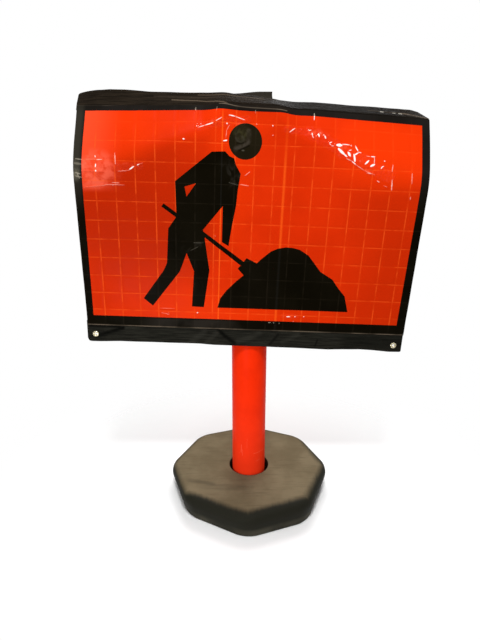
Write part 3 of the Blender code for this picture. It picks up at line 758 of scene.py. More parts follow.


# Pinches in the film, on the flat sheet: where each runs and its half-width, in millimetres, and
# how bright the glint painted along it is. Most follow the two creases
PINCHES_MM = [
    (-141, 540, -123, 546, 1.4, 0.7), (-123, 546, -103, 552, 1.6, 0.9),
    (-97, 557, -82, 566, 1.4, 0.7), (-66, 573, -50, 571, 1.7, 0.9), (-50, 571, -25, 564, 1.4, 0.8),
    (-71, 553, -68, 552, 2.4, 1.0), (-178, 512, -174, 511, 2.4, 1.0),
    (-77, 511, -68, 513, 2.2, 1.0), (-63, 550, -70, 536, 1.2, 0.5), (-70, 536, -71, 518, 1.2, 0.5),
    (-394, 445, -395, 437, 2.0, 1.0), (-395, 430, -394, 427, 2.6, 1.0),
    (-396, 465, -395, 461, 1.6, 0.8), (-378, 456, -393, 455, 1.6, 0.6),
    (-311, 434, -300, 442, 2.2, 1.0), (-292, 445, -286, 448, 1.8, 0.8),
    (-286, 448, -277, 451, 1.0, 0.4), (-346, 473, -345, 446, 1.4, 0.6),
    (-340, 429, -312, 432, 1.2, 0.5), (-376, 396, -324, 396, 1.2, 0.5),
    (-426, 387, -352, 397, 1.2, 0.3), (-356, 401, -336, 400, 1.6, 0.5),
    (-422, 455, -395, 456, 1.2, 0.4), (-430, 428, -377, 426, 1.0, 0.2),
    (44, 554, 45, 552, 1.8, 0.9), (46, 531, 46, 529, 1.6, 0.6), (3, 556, 5, 555, 1.6, 0.6),
    (87, 539, 100, 549, 1.5, 0.8), (96, 528, 97, 527, 1.4, 0.6), (135, 544, 141, 546, 1.6, 0.7),
    (144, 539, 145, 531, 1.6, 0.9), (145, 531, 148, 525, 1.5, 0.7), (160, 538, 162, 529, 2.4, 1.0),
    (162, 540, 168, 539, 1.2, 0.6), (172, 536, 176, 533, 1.6, 0.7), (176, 533, 179, 526, 2.0, 1.0),
    (187, 515, 195, 518, 1.6, 0.8), (188, 514, 193, 510, 1.6, 0.7), (193, 509, 200, 508, 1.5, 0.7),
    (207, 511, 220, 511, 5.4, 1.0), (219, 514, 243, 514, 1.5, 0.8), (243, 514, 245, 511, 1.4, 0.8),
    (211, 503, 228, 489, 4.4, 1.0), (227, 490, 235, 484, 2.4, 1.0), (234, 480, 248, 474, 1.2, 0.7),
    (248, 474, 259, 466, 1.6, 0.9), (237, 495, 243, 486, 4.4, 1.0), (238, 499, 245, 501, 1.4, 0.8),
    (252, 491, 256, 473, 3.2, 1.0), (254, 489, 263, 495, 2.2, 1.0), (255, 512, 262, 499, 1.8, 1.0),
    (262, 497, 271, 495, 1.5, 0.8), (283, 488, 293, 487, 1.2, 0.6), (296, 487, 306, 487, 1.8, 0.9),
    (305, 486, 305, 470, 1.4, 0.7), (282, 468, 291, 477, 3.0, 1.0), (296, 463, 306, 468, 3.6, 1.0),
    (267, 477, 269, 474, 1.2, 0.5), (323, 458, 326, 463, 1.8, 0.9), (326, 463, 330, 465, 1.6, 0.9),
    (331, 479, 332, 476, 1.8, 0.9), (342, 454, 343, 453, 1.0, 0.3), (259, 466, 281, 453, 1.2, 0.6),
    (281, 453, 309, 443, 1.2, 0.5), (289, 447, 302, 445, 1.4, 0.6), (316, 429, 324, 425, 1.4, 0.7),
    (336, 417, 345, 414, 1.0, 0.5), (354, 469, 352, 451, 1.3, 0.6), (355, 432, 357, 405, 1.6, 0.7),
    (405, 450, 406, 424, 1.2, 0.6), (408, 394, 408, 383, 1.2, 0.6), (216, 448, 217, 446, 1.2, 0.4),
    (-20, 428, -7, 439, 1.4, 0.5), (-32, 406, -10, 403, 1.6, 0.5), (-62, 410, -37, 404, 1.0, 0.12),
    (-140, 51, -137, 51, 2.0, 1.0), (112, 48, 122, 48.5, 1.9, 1.0), (134, 49, 138, 49, 1.4, 0.9),
    (159, 50, 162, 50, 1.4, 0.9), (-244, 61, -202, 61, 2.0, 0.3), (-240, 47, -216, 44, 2.4, 0.3),
    (-94, 272, -92, 268, 1.2, 0.4), (-158, 229, -137, 240, 1.0, 0.10),
    (-150, 250, -121, 251, 1.0, 0.12),
    (62, 28, 68, 28.5, 1.1, 0.7), (77, 31, 77, 26, 1.0, 0.6), (93, 29, 93, 25, 1.0, 0.5),
    (131, 34, 133, 34, 1.2, 0.7), (-445, 422, -433, 419, 2.0, 0.5),
    (-445, 414, -430, 411, 1.6, 0.5), (-442, 424, -436, 408, 1.2, 0.5),
    (-444, 456, -428, 454, 1.4, 0.5), (-448, 445, -430, 443, 4.0, 0.2),
    (-149, 594, -149, 584, 1.3, 0.4), (-95, 591, -96, 581, 1.2, 0.3), (0, 588, 0, 581, 1.2, 0.4),
    (149, 592, 149, 573, 1.3, 0.9),
]
# Crumpled places: where the line through each runs, and how far it reaches beside it
CRUMPLED_MM = [
    (140, 540, 345, 440, 24), (-140, 542, -20, 566, 15), (-448, 418, -430, 440, 24),
    (-345, 438, -284, 444, 13), (80, 545, 145, 540, 12), (105, 50, 140, 50, 10),
]
PINCH_HEIGHT = 0.0010
FACET_SLOPE = 0.1100
FACET_REACH = 0.0060
SLOW_SWELL = 0.0006
LOW_EDGE_SPAN = 0.0200
TOP_EDGE_SPAN = 0.0120


def from_line(line, u, v):
    """How far points lie from a line between two places, and how far along it they are."""
    ax, ay, bx, by = (x / 1000 for x in line[:4])
    length = math.hypot(bx - ax, by - ay)
    along = ((u - ax) * (bx - ax) + (v - ay) * (by - ay)) / length**2
    near = np.clip(along, 0.0, 1.0)
    return np.hypot(u - mix(ax, bx, near), v - mix(ay, by, near)), along


DENT_COUNT = 5200
POINTS_AT_ONCE = 4000
chance = random.Random(7)
dents = [(chance.uniform(-HALF_W, HALF_W), chance.uniform(0.0, FACE_H)) for _ in range(DENT_COUNT)]
dents = np.array(dents)


def facets(u, v):
    """Flat-sided crumples: how far each point is from the edge of its own crumpled facet."""
    found = np.zeros(len(u))
    for first in range(0, len(u), POINTS_AT_ONCE):
        some = slice(first, first + POINTS_AT_ONCE)
        away = np.hypot(*(np.subtract.outer(at[some], dents[:, k]) for k, at in enumerate((u, v))))
        nearest = np.partition(away, 1, axis=1)[:, :2]
        found[some] = nearest[:, 1] - nearest[:, 0]
    return found


def crumple_share(u, v):
    """1 in the middle of a crumpled place and 0 away from all of them."""
    share = np.zeros(len(u))
    for line in CRUMPLED_MM:
        away, _ = from_line(line, u, v)
        share = np.maximum(share, 1 - ease((away * 1000 / line[4] - 0.35) / 0.65))
    return share


def pinched(u, v):
    """How bright the painted glint is at each point, and how near it is to a pinch."""
    white, near = np.zeros(len(u)), np.zeros(len(u))
    ragged = np.sin(u * 1900 + 2.4 * np.sin(v * 1300)) * np.sin(v * 1700)
    for line in PINCHES_MM:
        away, along = from_line(line, u, v)
        taper = 1 - 0.60 * np.clip(np.abs(2 * along - 1), 0, 1) ** 2
        away = away * 1000 / (line[4] * taper)
        beyond = ease((away / (1 + 0.30 * ragged) - 0.25) / 0.85)
        white = np.maximum(white, line[5] * (1 - beyond))
        near = np.maximum(near, np.exp(-0.6 * away / (1 + 0.06 * ragged)))
    return white, near


def crumpled(u, v):
    """How far the film stands forward of its plain hang at (u, v), how crumpled it is, and how
    bright the painted glint is there.
    """
    white, near = pinched(u, v)
    share = crumple_share(u, v)
    some = share > 0.01
    forward = PINCH_HEIGHT * near
    risen = FACET_SLOPE * np.minimum(facets(u[some], v[some]), FACET_REACH)
    forward[some] += share[some] * risen
    edge = np.minimum(ease(v / LOW_EDGE_SPAN), ease((FACE_H - v) / TOP_EDGE_SPAN))
    slow = SLOW_SWELL * (1 + np.sin(u * 31 + 3 * np.sin(v * 17)) * np.sin(v * 23 + 2))
    return (forward + slow) * edge, share, white


# Where the first weld line lies and how far it is to the next, across and up the sheet, then the
# half-widths of a line and of the pillow's edge beside it, and the sleeve's two seams
WELD_COLUMNS = (-0.3975, 0.0501)
WELD_ROWS = (0.0520, 0.0503)
COLUMN_HALF = 0.0024
ROW_HALF = 0.0018
PILLOW_HALF = 0.0070
LEFT_SEAM_U = -0.0803
LEFT_SEAM_HALF = 0.0024
SEAM_U = 0.0815
SEAM_HALF = 0.0052
SEAM_CORE = 0.0006


def worn(finish):
    """The film's welds, seams, crumples and painted glints, shared by its orange, its black print
    and its back.
    """
    flat = finish.noted("flat", "Vector")
    u, v, crumple = (flat.part(axis) for axis in "XYZ")
    ripple = finish.noise(finish.stretched(flat, 1.0, 1.0, 0.0), 34.0, 3.0, 0.55)

    def cells(place, lines):
        return (place - lines[0]) / lines[1]

    def weld(place, lines, width):
        away = (cells(place, lines) + 0.5).fn("FRACT") - 0.5
        return (away.fn("ABSOLUTE") * lines[1]).between(width, width * 0.35)

    uneven = finish.noise(flat, 26.0, 2.0, 0.6).between(0.36, 0.62, 0.18, 1.0)
    # Painted light: the weld lines fade above the crease, where the stronger light washes them out
    faint = finish.noted("fold").between(0.2, 1.0, 1.0, 0.28)
    faint = faint.fn("MAXIMUM", u.between(-0.08, -0.16) * v.between(0.548, 0.520) * 0.7)
    columns = weld(u, WELD_COLUMNS, COLUMN_HALF) * uneven
    columns = columns * (u.between(-0.165, -0.185) * v.between(0.536, 0.556) * -0.75 + 1.0)
    rows = weld(v, WELD_ROWS, ROW_HALF) * (1.25 - uneven) * 0.9
    welds = columns.fn("MAXIMUM", rows) * faint
    pillow = weld(u, WELD_COLUMNS, PILLOW_HALF).fn("MAXIMUM", weld(v, WELD_ROWS, PILLOW_HALF))
    # The sleeve's two welds behind the face, painted as bright lines of light showing through the
    # film
    seams = (u - LEFT_SEAM_U).fn("ABSOLUTE").between(LEFT_SEAM_HALF, SEAM_CORE)
    broad = (u - SEAM_U).fn("ABSOLUTE").between(SEAM_HALF, SEAM_CORE)
    broad = broad * v.between(0.52, 0.44, 0.25, 0.75)
    seams = seams.fn("MAXIMUM", broad) * v.between(0.595, 0.560)
    each = {0: cells(u, WELD_COLUMNS).fn("FLOOR"), 1: cells(v, WELD_ROWS).fn("FLOOR")}
    each = finish.node("CombineXYZ", {}, each)
    each = finish.node("TexWhiteNoise", {"noise_dimensions": "3D"}, {"Vector": each})
    return flat, welds, pillow, u, v, crumple, ripple, seams, each, finish.noted("painted_glint")


# Painted light on the orange: the middle and the reach of each brightened place in millimetres, and
# how bright
LIT_MM = [
    (350, 500, 190, 120, 0.55), (-360, 520, 150, 110, 0.35), (-60, 30, 240, 120, 0.35),
    (-60, 430, 75, 260, 0.30),
]
film = Finish("orange_film", Specular_IOR_Level=0.014, Coat_Roughness=0.10)
flat, welds, pillow, across, up, crumple, ripple, seams, each, painted_glint = worn(film)
haze = film.noise(flat, 7.0, 3.0)
fine = film.noise(flat, 260.0, 3.0, 0.6)
# Painted shade: the face's left half is darkened below the crease
slack = film.patch(across, up, (-285, 335, 300, 250))
# Painted shade on the right of the face
painted_shade_right = across.between(0.20, 0.38) * up.between(0.46, 0.38)
lit = [(film.patch(across, up, oval) * share, (0.960, 0.0440, 0.0016)) for *oval, share in LIT_MM]
# Painted reflection: a pale orange on the upper far left
painted_reflection_left = across.between(-0.32, -0.43) * up.between(0.372, 0.392)
# Painted reflection, mottled, near the crumpled left edge
mottled_reflection_left = film.patch(across, up, (-400, 430, 75, 60)) * up.between(0.370, 0.395)
orange = film.layered(
    (0.665, 0.0255, 0.0012),
    (haze.between(0.35, 0.65), (0.740, 0.0300, 0.0016)),
    (each * 0.22, (0.590, 0.0205, 0.0010)),
    (slack * 0.85, (0.465, 0.0180, 0.0011)),
    (painted_shade_right * 0.75, (0.590, 0.0235, 0.0011)),
    *lit,
    (painted_reflection_left * 0.60, (1.0, 0.085, 0.030)),
    (mottled_reflection_left * ripple.between(0.40, 0.62, 0.05, 0.62), (1.0, 0.155, 0.085)),
    (welds * 0.47, (1.0, 0.115, 0.014)),
    (seams * 0.66, (1.0, 0.125, 0.010)),
    # painted sheen over the crumpled places
    (ripple.between(0.56, 0.70) * crumple * 0.30, (1.0, 0.16, 0.07)),
    # painted glints, pink at their edges and white along them
    (painted_glint.between(0.04, 0.45, 0.0, 0.55), (1.0, 0.26, 0.16)),
    (painted_glint.between(0.30, 0.85), (1.0, 0.97, 0.95)),
)
grained = film.bump(fine, 0.00003, film.bump(ripple, 0.0005))
film.feed(
    Base_Color=orange,
    Roughness=haze.between(0.3, 0.7, 0.28, 0.38) + welds * 0.12,
    Coat_Weight=crumple.between(0.2, 0.8, 0.0, 0.10) + painted_glint * 0.4,
    Normal=film.bump(pillow * -1.0, 0.00020, grained),
)

# Painted reflections and painted shade along the creases of the film over the head: where each runs
# and its half-width in millimetres, how much of it shows, whether it is broken up, and its colour
HEAD_CREASES_MM = [
    ([(-44, 531), (-47, 521.5), (-42, 513), (-34, 510.5), (-26.5, 516), (-28.5, 524), (-37, 524.5),
      (-38.5, 519), (-34.5, 518.5)], 4.6, 0.62, True, (0.044, 0.038, 0.026)),
    ([(-14.2, 537), (-14.2, 522.1), (-16, 510.5), (-25.7, 502.5), (-35.5, 497.5), (-45, 493.5)],
     10, 0.85, True, (0.050, 0.040, 0.029)),
    ([(-12.5, 503), (-24.5, 496.5), (-37, 490.5)], 4.2, 0.85, False, (0.0050, 0.0036, 0.0014)),
    ([(-43, 508.5), (-34, 506.5), (-26, 509.5)], 3, 0.70, False, (0.0060, 0.0045, 0.0018)),
]
# A painted highlight along the fold where the face goes over the grip
FOLD_MM = [(-90, 600), (-69, 597.7), (-53.5, 595.7), (-25, 594), (15, 593), (78, 591.6)]
ink = Finish("black_print", Specular_IOR_Level=0.010, Coat_Roughness=0.10)
flat, welds, pillow, across, up, crumple, ripple, seams, each, painted_glint = worn(ink)
haze = ink.noise(flat, 9.0, 3.0)
folds = ink.noise(ink.stretched(flat, 1.0, 0.45, 0.0), 48.0, 3.0, 0.55, 0.8)
uneven = ink.noise(ink.stretched(flat, 1.0, 1.0, 0.0), 85.0, 2.0, 0.5, 0.6)
uneven = uneven.between(0.36, 0.62, 0.25, 1.0)
# Painted reflection: the head is paler than the rest of the print, with an olive patch at its upper
# left
in_head = ink.patch(across, up, (*HEAD_MM[:2], 62, 62)).between(0.15, 0.45)
olive = ink.patch(across, up, (-32, 534, 26, 22)) * uneven
head_creases = []
for line, width, share, broken, tone in HEAD_CREASES_MM:
    there = ink.curve(across, up, line, width)
    head_creases.append(((there * uneven if broken else there) * share, tone))
# A painted highlight low on the head
shine = ink.patch(across, up, (-27.3, 490.5, 5.0, 2.6))
# Painted light on the upper side borders and along the top border
rim = across.fn("ABSOLUTE").between(0.425, 0.431) * up.between(0.32, 0.47)
rim = rim.fn("MAXIMUM", up.between(0.577, 0.585))
# Painted sheen on the print: by the figure's neck, by its belt, along the lower border and on the
# left border
by_neck = ink.stroke(across, up, (-85, 470, -30, 395), 34)
by_belt = ink.stroke(across, up, (-190, 222, -105, 262), 16)
low_sheen = up.between(0.034, 0.026) * across.between(-0.32, -0.22) * across.between(0.05, -0.12)
at_left = across.between(-0.426, -0.440) * up.between(0.30, 0.46)
at_left = at_left * up.between(0.600, 0.570, 0.55, 1.0)
# Painted glints where the left border is crinkled
painted_crinkle_glints = ink.stroke(across, up, (-446, 395, -441, 462), 12)
# Painted highlights along the film's lower edge and the left end of its upper edge
low_edge = up.between(FACE_LOW + 0.0040, FACE_LOW + 0.0014)
top_edge = up.between(FACE_H - 0.0032, FACE_H - 0.0012) * across.between(-0.34, -0.42)
# Painted light on the face's top strip where it goes over the grip
over_face = across.between(-0.070, -0.045) * across.between(0.110, 0.070)
over_face = over_face * up.between(0.5905, 0.5925)
fold_line = ink.curve(across, up, FOLD_MM, 1.8)
black = ink.layered(
    (0.0028, 0.0020, 0.0005),
    (haze.between(0.35, 0.70), (0.0046, 0.0034, 0.0013)),
    (each * 0.14, (0.0085, 0.0070, 0.0040)),
    (seams * 0.35, (0.016, 0.015, 0.013)),
    (in_head * haze.between(0.35, 0.65, 0.65, 0.85), (0.0144, 0.0108, 0.0046)),
    (olive * 0.75, (0.042, 0.037, 0.0150)),
    *head_creases,
    (shine * 0.8, (0.075, 0.070, 0.050)),
    (rim * haze.between(0.3, 0.7, 0.55, 1.0), (0.0125, 0.0105, 0.0090)),
    (by_neck * folds.between(0.42, 0.64, 0.0, 0.8), (0.040, 0.035, 0.027)),
    (by_belt * folds.between(0.46, 0.64, 0.0, 0.22), (0.036, 0.031, 0.022)),
    (low_sheen * haze.between(0.40, 0.60, 0.1, 0.8), (0.022, 0.018, 0.014)),
    (at_left * 0.75, (0.036, 0.032, 0.023)),
    (painted_crinkle_glints * folds.between(0.40, 0.66, 0.15, 0.9), (0.150, 0.135, 0.095)),
    (low_edge * haze.between(0.42, 0.58, 0.30, 1.0), (0.120, 0.092, 0.064)),
    (top_edge * haze.between(0.40, 0.58, 0.10, 0.7), (0.100, 0.078, 0.056)),
    (over_face * 0.85, (0.0150, 0.0115, 0.0085)),
    (fold_line * haze.between(0.35, 0.60, 0.35, 0.85), (0.18, 0.140, 0.100)),
    (welds * 0.10, (0.060, 0.044, 0.028)),
    # painted glints
    (painted_glint, (0.55, 0.48, 0.36)),
)
ink.feed(
    Base_Color=black,
    Roughness=haze.between(0.3, 0.7, 0.30, 0.42),
    Coat_Weight=crumple.between(0.2, 0.8, 0.0, 0.15) + painted_glint * 0.3,
    Normal=ink.bump(pillow * -1.0, 0.00012, ink.bump(ripple, 0.0006)),
)

backing = Finish("film_back", Specular_IOR_Level=0.10)
flat, welds, pillow, *_ = worn(backing)
haze = backing.noise(flat, 12.0, 4.0)
backing.feed(
    Base_Color=backing.layered(
        (0.50, 0.070, 0.024),
        (haze.between(0.35, 0.65), (0.58, 0.090, 0.034)),
        (welds * 0.5, (0.34, 0.035, 0.012)),
    ),
    Roughness=haze.between(0.3, 0.7, 0.42, 0.55),
    Normal=backing.bump(pillow, 0.0005),
)

FACE_CELL = 0.0050
FINE_CUTS = 3
WALL_HALF = 0.0100
face = added(
    "welded_face",
    bpy.ops.mesh.primitive_grid_add,
    x_subdivisions=round(FACE_W / FACE_CELL),
    y_subdivisions=round((FACE_H - FACE_LOW) / FACE_CELL),
    size=1.0,
    scale=(FACE_W, FACE_H - FACE_LOW, 1.0),
    location=(0, (FACE_H + FACE_LOW) / 2, 0),
)
# The net is finer where the film is crumpled or pinched, and is cut along the border's edge
bpy.ops.object.mode_set(mode="EDIT")
flat_places = corners(face)[:, :2].T
needed = (crumple_share(*flat_places) > 0.4) | (pinched(*flat_places)[1] > 0.12)
pick("FACE", lambda part: any(needed[corner.index] for corner in part.verts))
bpy.ops.mesh.subdivide(number_cuts=FINE_CUTS)
for a, b in zip(orange_edge, np.roll(orange_edge, -1, axis=0)):
    bpy.ops.mesh.select_all(action="SELECT")
    bpy.ops.mesh.bisect(plane_co=(*a, 0), plane_no=(b[1] - a[1], a[0] - b[0], 0))
bpy.ops.object.mode_set(mode="OBJECT")

# The figure's outlines are stood up as walls and pressed through the flat sheet
walls = []
for outline in printed + [arm_gap]:
    wall = added("outline", bpy.ops.mesh.primitive_circle_add, vertices=len(outline))
    for corner, (x, y) in zip(wall.data.vertices, outline):
        corner.co = (x, y, -WALL_HALF)
    bpy.ops.object.mode_set(mode="EDIT")
    pick("EDGE", lambda edge: True)
    bpy.ops.mesh.extrude_region_move(TRANSFORM_OT_translate={"value": (0, 0, 2 * WALL_HALF)})
    bpy.ops.object.mode_set(mode="OBJECT")
    walls.append(wall)
joined(face, walls)
bpy.ops.object.mode_set(mode="EDIT")
pick("FACE", lambda part: abs(part.normal.z) < 0.5)
bpy.ops.mesh.intersect(mode="SELECT_UNSELECT", separate_mode="NONE", solver="FAST")
pick("VERT", lambda corner: abs(corner.co.z) > WALL_HALF / 2)
bpy.ops.mesh.delete(type="VERT")
pick("FACE", lambda part: abs(part.normal.z) < 0.5)
bpy.ops.mesh.delete(type="FACE")
bpy.ops.mesh.select_all(action="SELECT")
bpy.ops.mesh.remove_doubles(threshold=0.00001)
bpy.ops.mesh.delete_loose()
pick("FACE", lambda part: len(part.verts) > 4)
bpy.ops.mesh.quads_convert_to_tris()
bpy.ops.object.mode_set(mode="OBJECT")

spots = np.array([part.center[:2] for part in face.data.polygons])
x, y = spots.T
black_there = ~inside(orange_edge, x, y)
for outline in printed:
    black_there |= inside(outline, x, y)
black_there &= ~inside(arm_gap, x, y)
for finish in (film, ink, backing, backing):
    face.data.materials.append(finish.material)
face.data.polygons.foreach_set("material_index", black_there.astype(np.int32))

u, v = corners(face)[:, :2].T
forward, share, white = crumpled(u, v)
laid_out(face, hung(u, v, -forward), np.stack([u, v, share], -1))
above_crease = read_net(net_lean, u, v) / math.radians(LEAN_DEG)
for name, values in (("painted_glint", white), ("fold", np.clip(above_crease, 0.0, 1.0))):
    face.data.attributes.new(name, "FLOAT", "POINT").data.foreach_set("value", values)
thickened(face, FACE_T, material_offset=2, material_offset_rim=1)
finished(face, [], "face_pvc", "sign_head", "sign_face", sharp=50)


# Hems. Strips of black coated cloth, folded into pockets for the battens and welded behind the
# face's upper and lower edges. The upper one leans back over the grip, and the lower one hangs
# straight and has a softly rounded left corner.
HEM_T = 0.0009
HEM_LAP = 0.0120
HEM_FLAT_GAP = 0.0008
BOTTOM_HEM_H = 0.0502
LAP_FIT = 0.0006
LAYER_OFF = FACE_T / 2 + LAP_FIT + HEM_T / 2
BATTEN_W = 0.0240
BATTEN_T = 0.0025
POCKET_FIT = 0.0007
POCKET_GAP = BATTEN_T + 2 * POCKET_FIT
POCKET_END = 0.0180
TOP_BATTEN_HALF = 0.3900
BOTTOM_BATTEN_HALF = 0.4020
HEM_COLUMNS = 240
FOLD_STEPS = 8
HEM_PAST_LEFT = 0.0020
HEM_SHORT_RIGHT = 0.0004
HEM_SWELL = 0.0004
THREAD_PITCH = 0.0011


def run_along(path):
    """How far along a path each of its points lies."""
    steps = np.linalg.norm(np.diff(path, axis=0), axis=1)
    return np.concatenate([[0.0], np.cumsum(steps)])


def cloth(name, columns, rows, place):
    """A net of cloth. place turns arrays of columns and rows into places, hung and flat."""
    made = added(
        name,
        bpy.ops.mesh.primitive_grid_add,
        x_subdivisions=len(columns) - 1,
        y_subdivisions=len(rows) - 1,
        size=1.0,
    )
    x, y = corners(made)[:, :2].T
    i = np.rint((x + 0.5) * (len(columns) - 1)).astype(int)
    j = np.rint((y + 0.5) * (len(rows) - 1)).astype(int)
    return laid_out(made, *place(np.asarray(columns)[i], np.asarray(rows)[j]))


def coated_cloth(name, lit, marks_mm=(), shade=0.0):
    """Black coated cloth with a fine weave showing through. lit is the colour that its paler and
    darker tones are scaled from. marks_mm are painted highlights and painted shade along its
    creases: where each runs, its half-width, how much of it shows and its colour. shade is how much
    painted shade darkens its right half."""
    made = Finish(name, Specular_IOR_Level=0.015)
    flat = made.noted("flat", "Vector")
    u, out = flat.part("X"), flat.part("Z") * TOP_HEM_H
    across, along = (flat.part(axis) * (2 * math.pi / THREAD_PITCH) for axis in "XY")
    weave = across.fn("SINE") * along.fn("SINE")
    cloud = made.noise(flat, 16.0, 4.0, 0.6)
    crease = made.noise(made.stretched(flat, 1.0, 2.6, 1.0), 24.0, 4.0, 0.6)
    fluff = made.noise(flat, 900.0, 2.0)
    grazed = made.noise(made.stretched(flat, 0.5, 5.0, 1.0), 30.0, 3.0, 0.6)
    dark, pale, fluffy, worn_pale = (tuple(c * k for c in lit) for k in (0.42, 1.12, 2.2, 1.9))
    # Painted shade over the right half
    shaded = u.between(0.0, 0.10, 0.0, shade) * u.between(0.44, 0.34, 0.4, 1.0)
    broken = cloud.between(0.36, 0.62, 0.65, 1.0)
    colour = made.layered(
        dark,
        (cloud.between(0.36, 0.64), pale),
        (fluff.between(0.68, 0.80, 0.0, 0.25), fluffy),
        (grazed.between(0.54, 0.72, 0.0, 0.45), worn_pale),
        (shaded, (0.0026, 0.0020, 0.0014)),
        *((made.curve(u, out, line, width) * share * broken, tone)
          for line, width, share, tone in marks_mm),
    )
    made.feed(
        Base_Color=colour,
        Roughness=cloud.between(0.3, 0.7, 0.48, 0.66),
        Normal=made.bump(weave, 0.00005, made.bump(crease, 0.0018)),
    )
    return made


def pocket_section(height, gap):
    """Points (out, off) along a hem strip from its front lap, round its fold, to its back."""
    flat, deep = HEM_T + HEM_FLAT_GAP, HEM_T + gap
    radius = deep / 2
    inner = (height - BATTEN_W) / 2
    front = list(np.linspace(-HEM_LAP, 0.0, 4)) + list(np.linspace(0.0, inner, 5))[1:]
    front += list(np.linspace(inner, height - radius, 8))[1:]
    path = [(out, 0.0) for out in front]
    for k in range(1, FOLD_STEPS):
        turn = math.pi * k / FOLD_STEPS
        path.append((height - radius + radius * math.sin(turn), radius * (1 - math.cos(turn))))
    for out in reversed(front):
        share = float(ease((out - HEM_TURN / 4) / (inner - HEM_TURN / 4)))
        path.append((out, mix(flat, deep, share)))
    return path


def make_hem(name, edge_v, way, height, batten_half, corner_rs, hangs):
    """way is 1 for the hem above the face and -1 for the one below it. corner_rs are the radii of
    its left and right corners, and hangs tells how much further out its fold is along it."""
    shut = np.array(pocket_section(height, HEM_FLAT_GAP))
    wide = np.array(pocket_section(height, POCKET_GAP))
    along = run_along(wide)
    ends = (HALF_W + HEM_PAST_LEFT, HALF_W - HEM_SHORT_RIGHT)

    def place(u, k):
        k = k.astype(int)
        open_share = 1 - ease((np.abs(u) - batten_half) / POCKET_END)
        out, off = mix(shut[k].T, wide[k].T, open_share)
        corner_r = np.where(u < 0, *corner_rs)
        from_end = np.where(u < 0, *ends) - np.abs(u)
        inset = np.clip(corner_r - from_end, 0.0, corner_r)
        shorter = corner_r - np.sqrt(np.maximum(corner_r**2 - inset**2, 0.0))
        out = np.where(out > 0, out * (1 - shorter / height), out)
        way_out = np.clip(out / height, 0, 1)
        sag = np.interp(u, *zip(*hangs)) * way_out
        off = off - HEM_SWELL * (1 + np.sin(u * 61 + 2)) * way_out
        flat = np.stack([u, along[k], way_out], -1)
        return hung(u, edge_v + way * (out + sag), LAYER_OFF + off), flat

    hem = cloth(name, np.linspace(-ends[0], ends[1], HEM_COLUMNS + 1), range(len(wide)), place)
    if way < 0:
        bpy.ops.object.mode_set(mode="EDIT")
        bpy.ops.mesh.select_all(action="SELECT")
        bpy.ops.mesh.flip_normals()
        bpy.ops.object.mode_set(mode="OBJECT")
    return thickened(hem, HEM_T)


# Painted highlights on the upper hem: a pale sheen along its folds, and white glints
PALE_SHEEN = (0.170, 0.125, 0.085)
WHITE_GLINT = (0.60, 0.56, 0.48)
# Painted shade in the lower hem's folds, and painted light beside them
FOLD_SHADE = (0.0014, 0.0014, 0.0010)
FOLD_LIGHT = (0.036, 0.034, 0.027)
# The upper hem's marks are painted highlights along its folds and painted glints at its right
top_cloth = coated_cloth("hem_cloth_top", (0.0190, 0.0136, 0.0088), [
    ([(-210, 17.2), (-148, 14.7), (-99, 9.7), (-80, 4.5), (-70, 0)], 2.6, 0.80, PALE_SHEEN),
    ([(-145, 33), (-60, 30.5), (20, 29)], 2.6, 0.40, PALE_SHEEN),
    ([(-255, 27), (-160, 25), (-10, 20)], 4.6, 0.28, (0.075, 0.056, 0.040)),
    ([(380, 19), (420, 13), (452, 6)], 4.4, 0.60, PALE_SHEEN),
    ([(290, 21), (400, 19)], 2.6, 0.25, PALE_SHEEN),
    ([(324, 19), (331, 18.5)], 2.0, 1.00, WHITE_GLINT),
    ([(357, 17), (363, 17)], 1.7, 0.90, WHITE_GLINT),
    ([(373, 16.5), (380, 15.5)], 2.4, 1.00, WHITE_GLINT),
], shade=0.75)
# The lower hem's marks are painted shade in its folds, painted light on their lit sides, and a
# broad darker band on its right
low_cloth = coated_cloth("hem_cloth_low", (0.0175, 0.0168, 0.0128), [
    ([(290, 20), (460, 20)], 32, 0.60, (0.0045, 0.0045, 0.0032)),
    ([(-425, 28), (-390, 18), (-350, 6)], 8.5, 1.00, FOLD_SHADE),
    ([(-445, 4), (-360, 4)], 5.0, 0.90, FOLD_SHADE),
    ([(-80, 1), (-62, 16), (-34, 34)], 9.0, 1.00, FOLD_SHADE),
    ([(-156, 38), (-118, 9)], 12, 0.45, FOLD_LIGHT),
    ([(-112, 36), (-83, 11)], 10, 0.40, FOLD_LIGHT),
    ([(-20, 30), (40, 8)], 11, 0.40, FOLD_LIGHT),
    ([(105, 28), (150, 8)], 9.0, 0.40, FOLD_LIGHT),
    ([(70, 34), (92, 10)], 6.0, 0.70, FOLD_SHADE),
    ([(200, 34), (206, 20)], 4.0, 0.80, FOLD_SHADE),
])
# How much further out each hem's fold is at places along it
TOP_HANGS = [(-0.45, 0.0), (-0.20, 0.0), (-0.14, 0.0010), (-0.06, 0.0), (0.45, 0.0)]
LOW_HANGS = [
    (-0.45, 0.0004), (-0.40, 0.0), (-0.36, -0.0018), (-0.13, -0.0024), (-0.09, 0.0), (0.10, 0.0006),
    (0.20, 0.0018), (0.24, 0.0026), (0.28, 0.0004), (0.33, -0.0014), (0.37, 0.0), (0.41, 0.0026),
    (0.45, 0.0020),
]
top_hem = make_hem(
    "upper_hem", FACE_H, 1, TOP_HEM_H, TOP_BATTEN_HALF, (0.0046, 0.0060), TOP_HANGS
)
low_hem = make_hem(
    "lower_hem", FACE_LOW, -1, BOTTOM_HEM_H, BOTTOM_BATTEN_HALF, (0.0100, 0.0018), LOW_HANGS
)


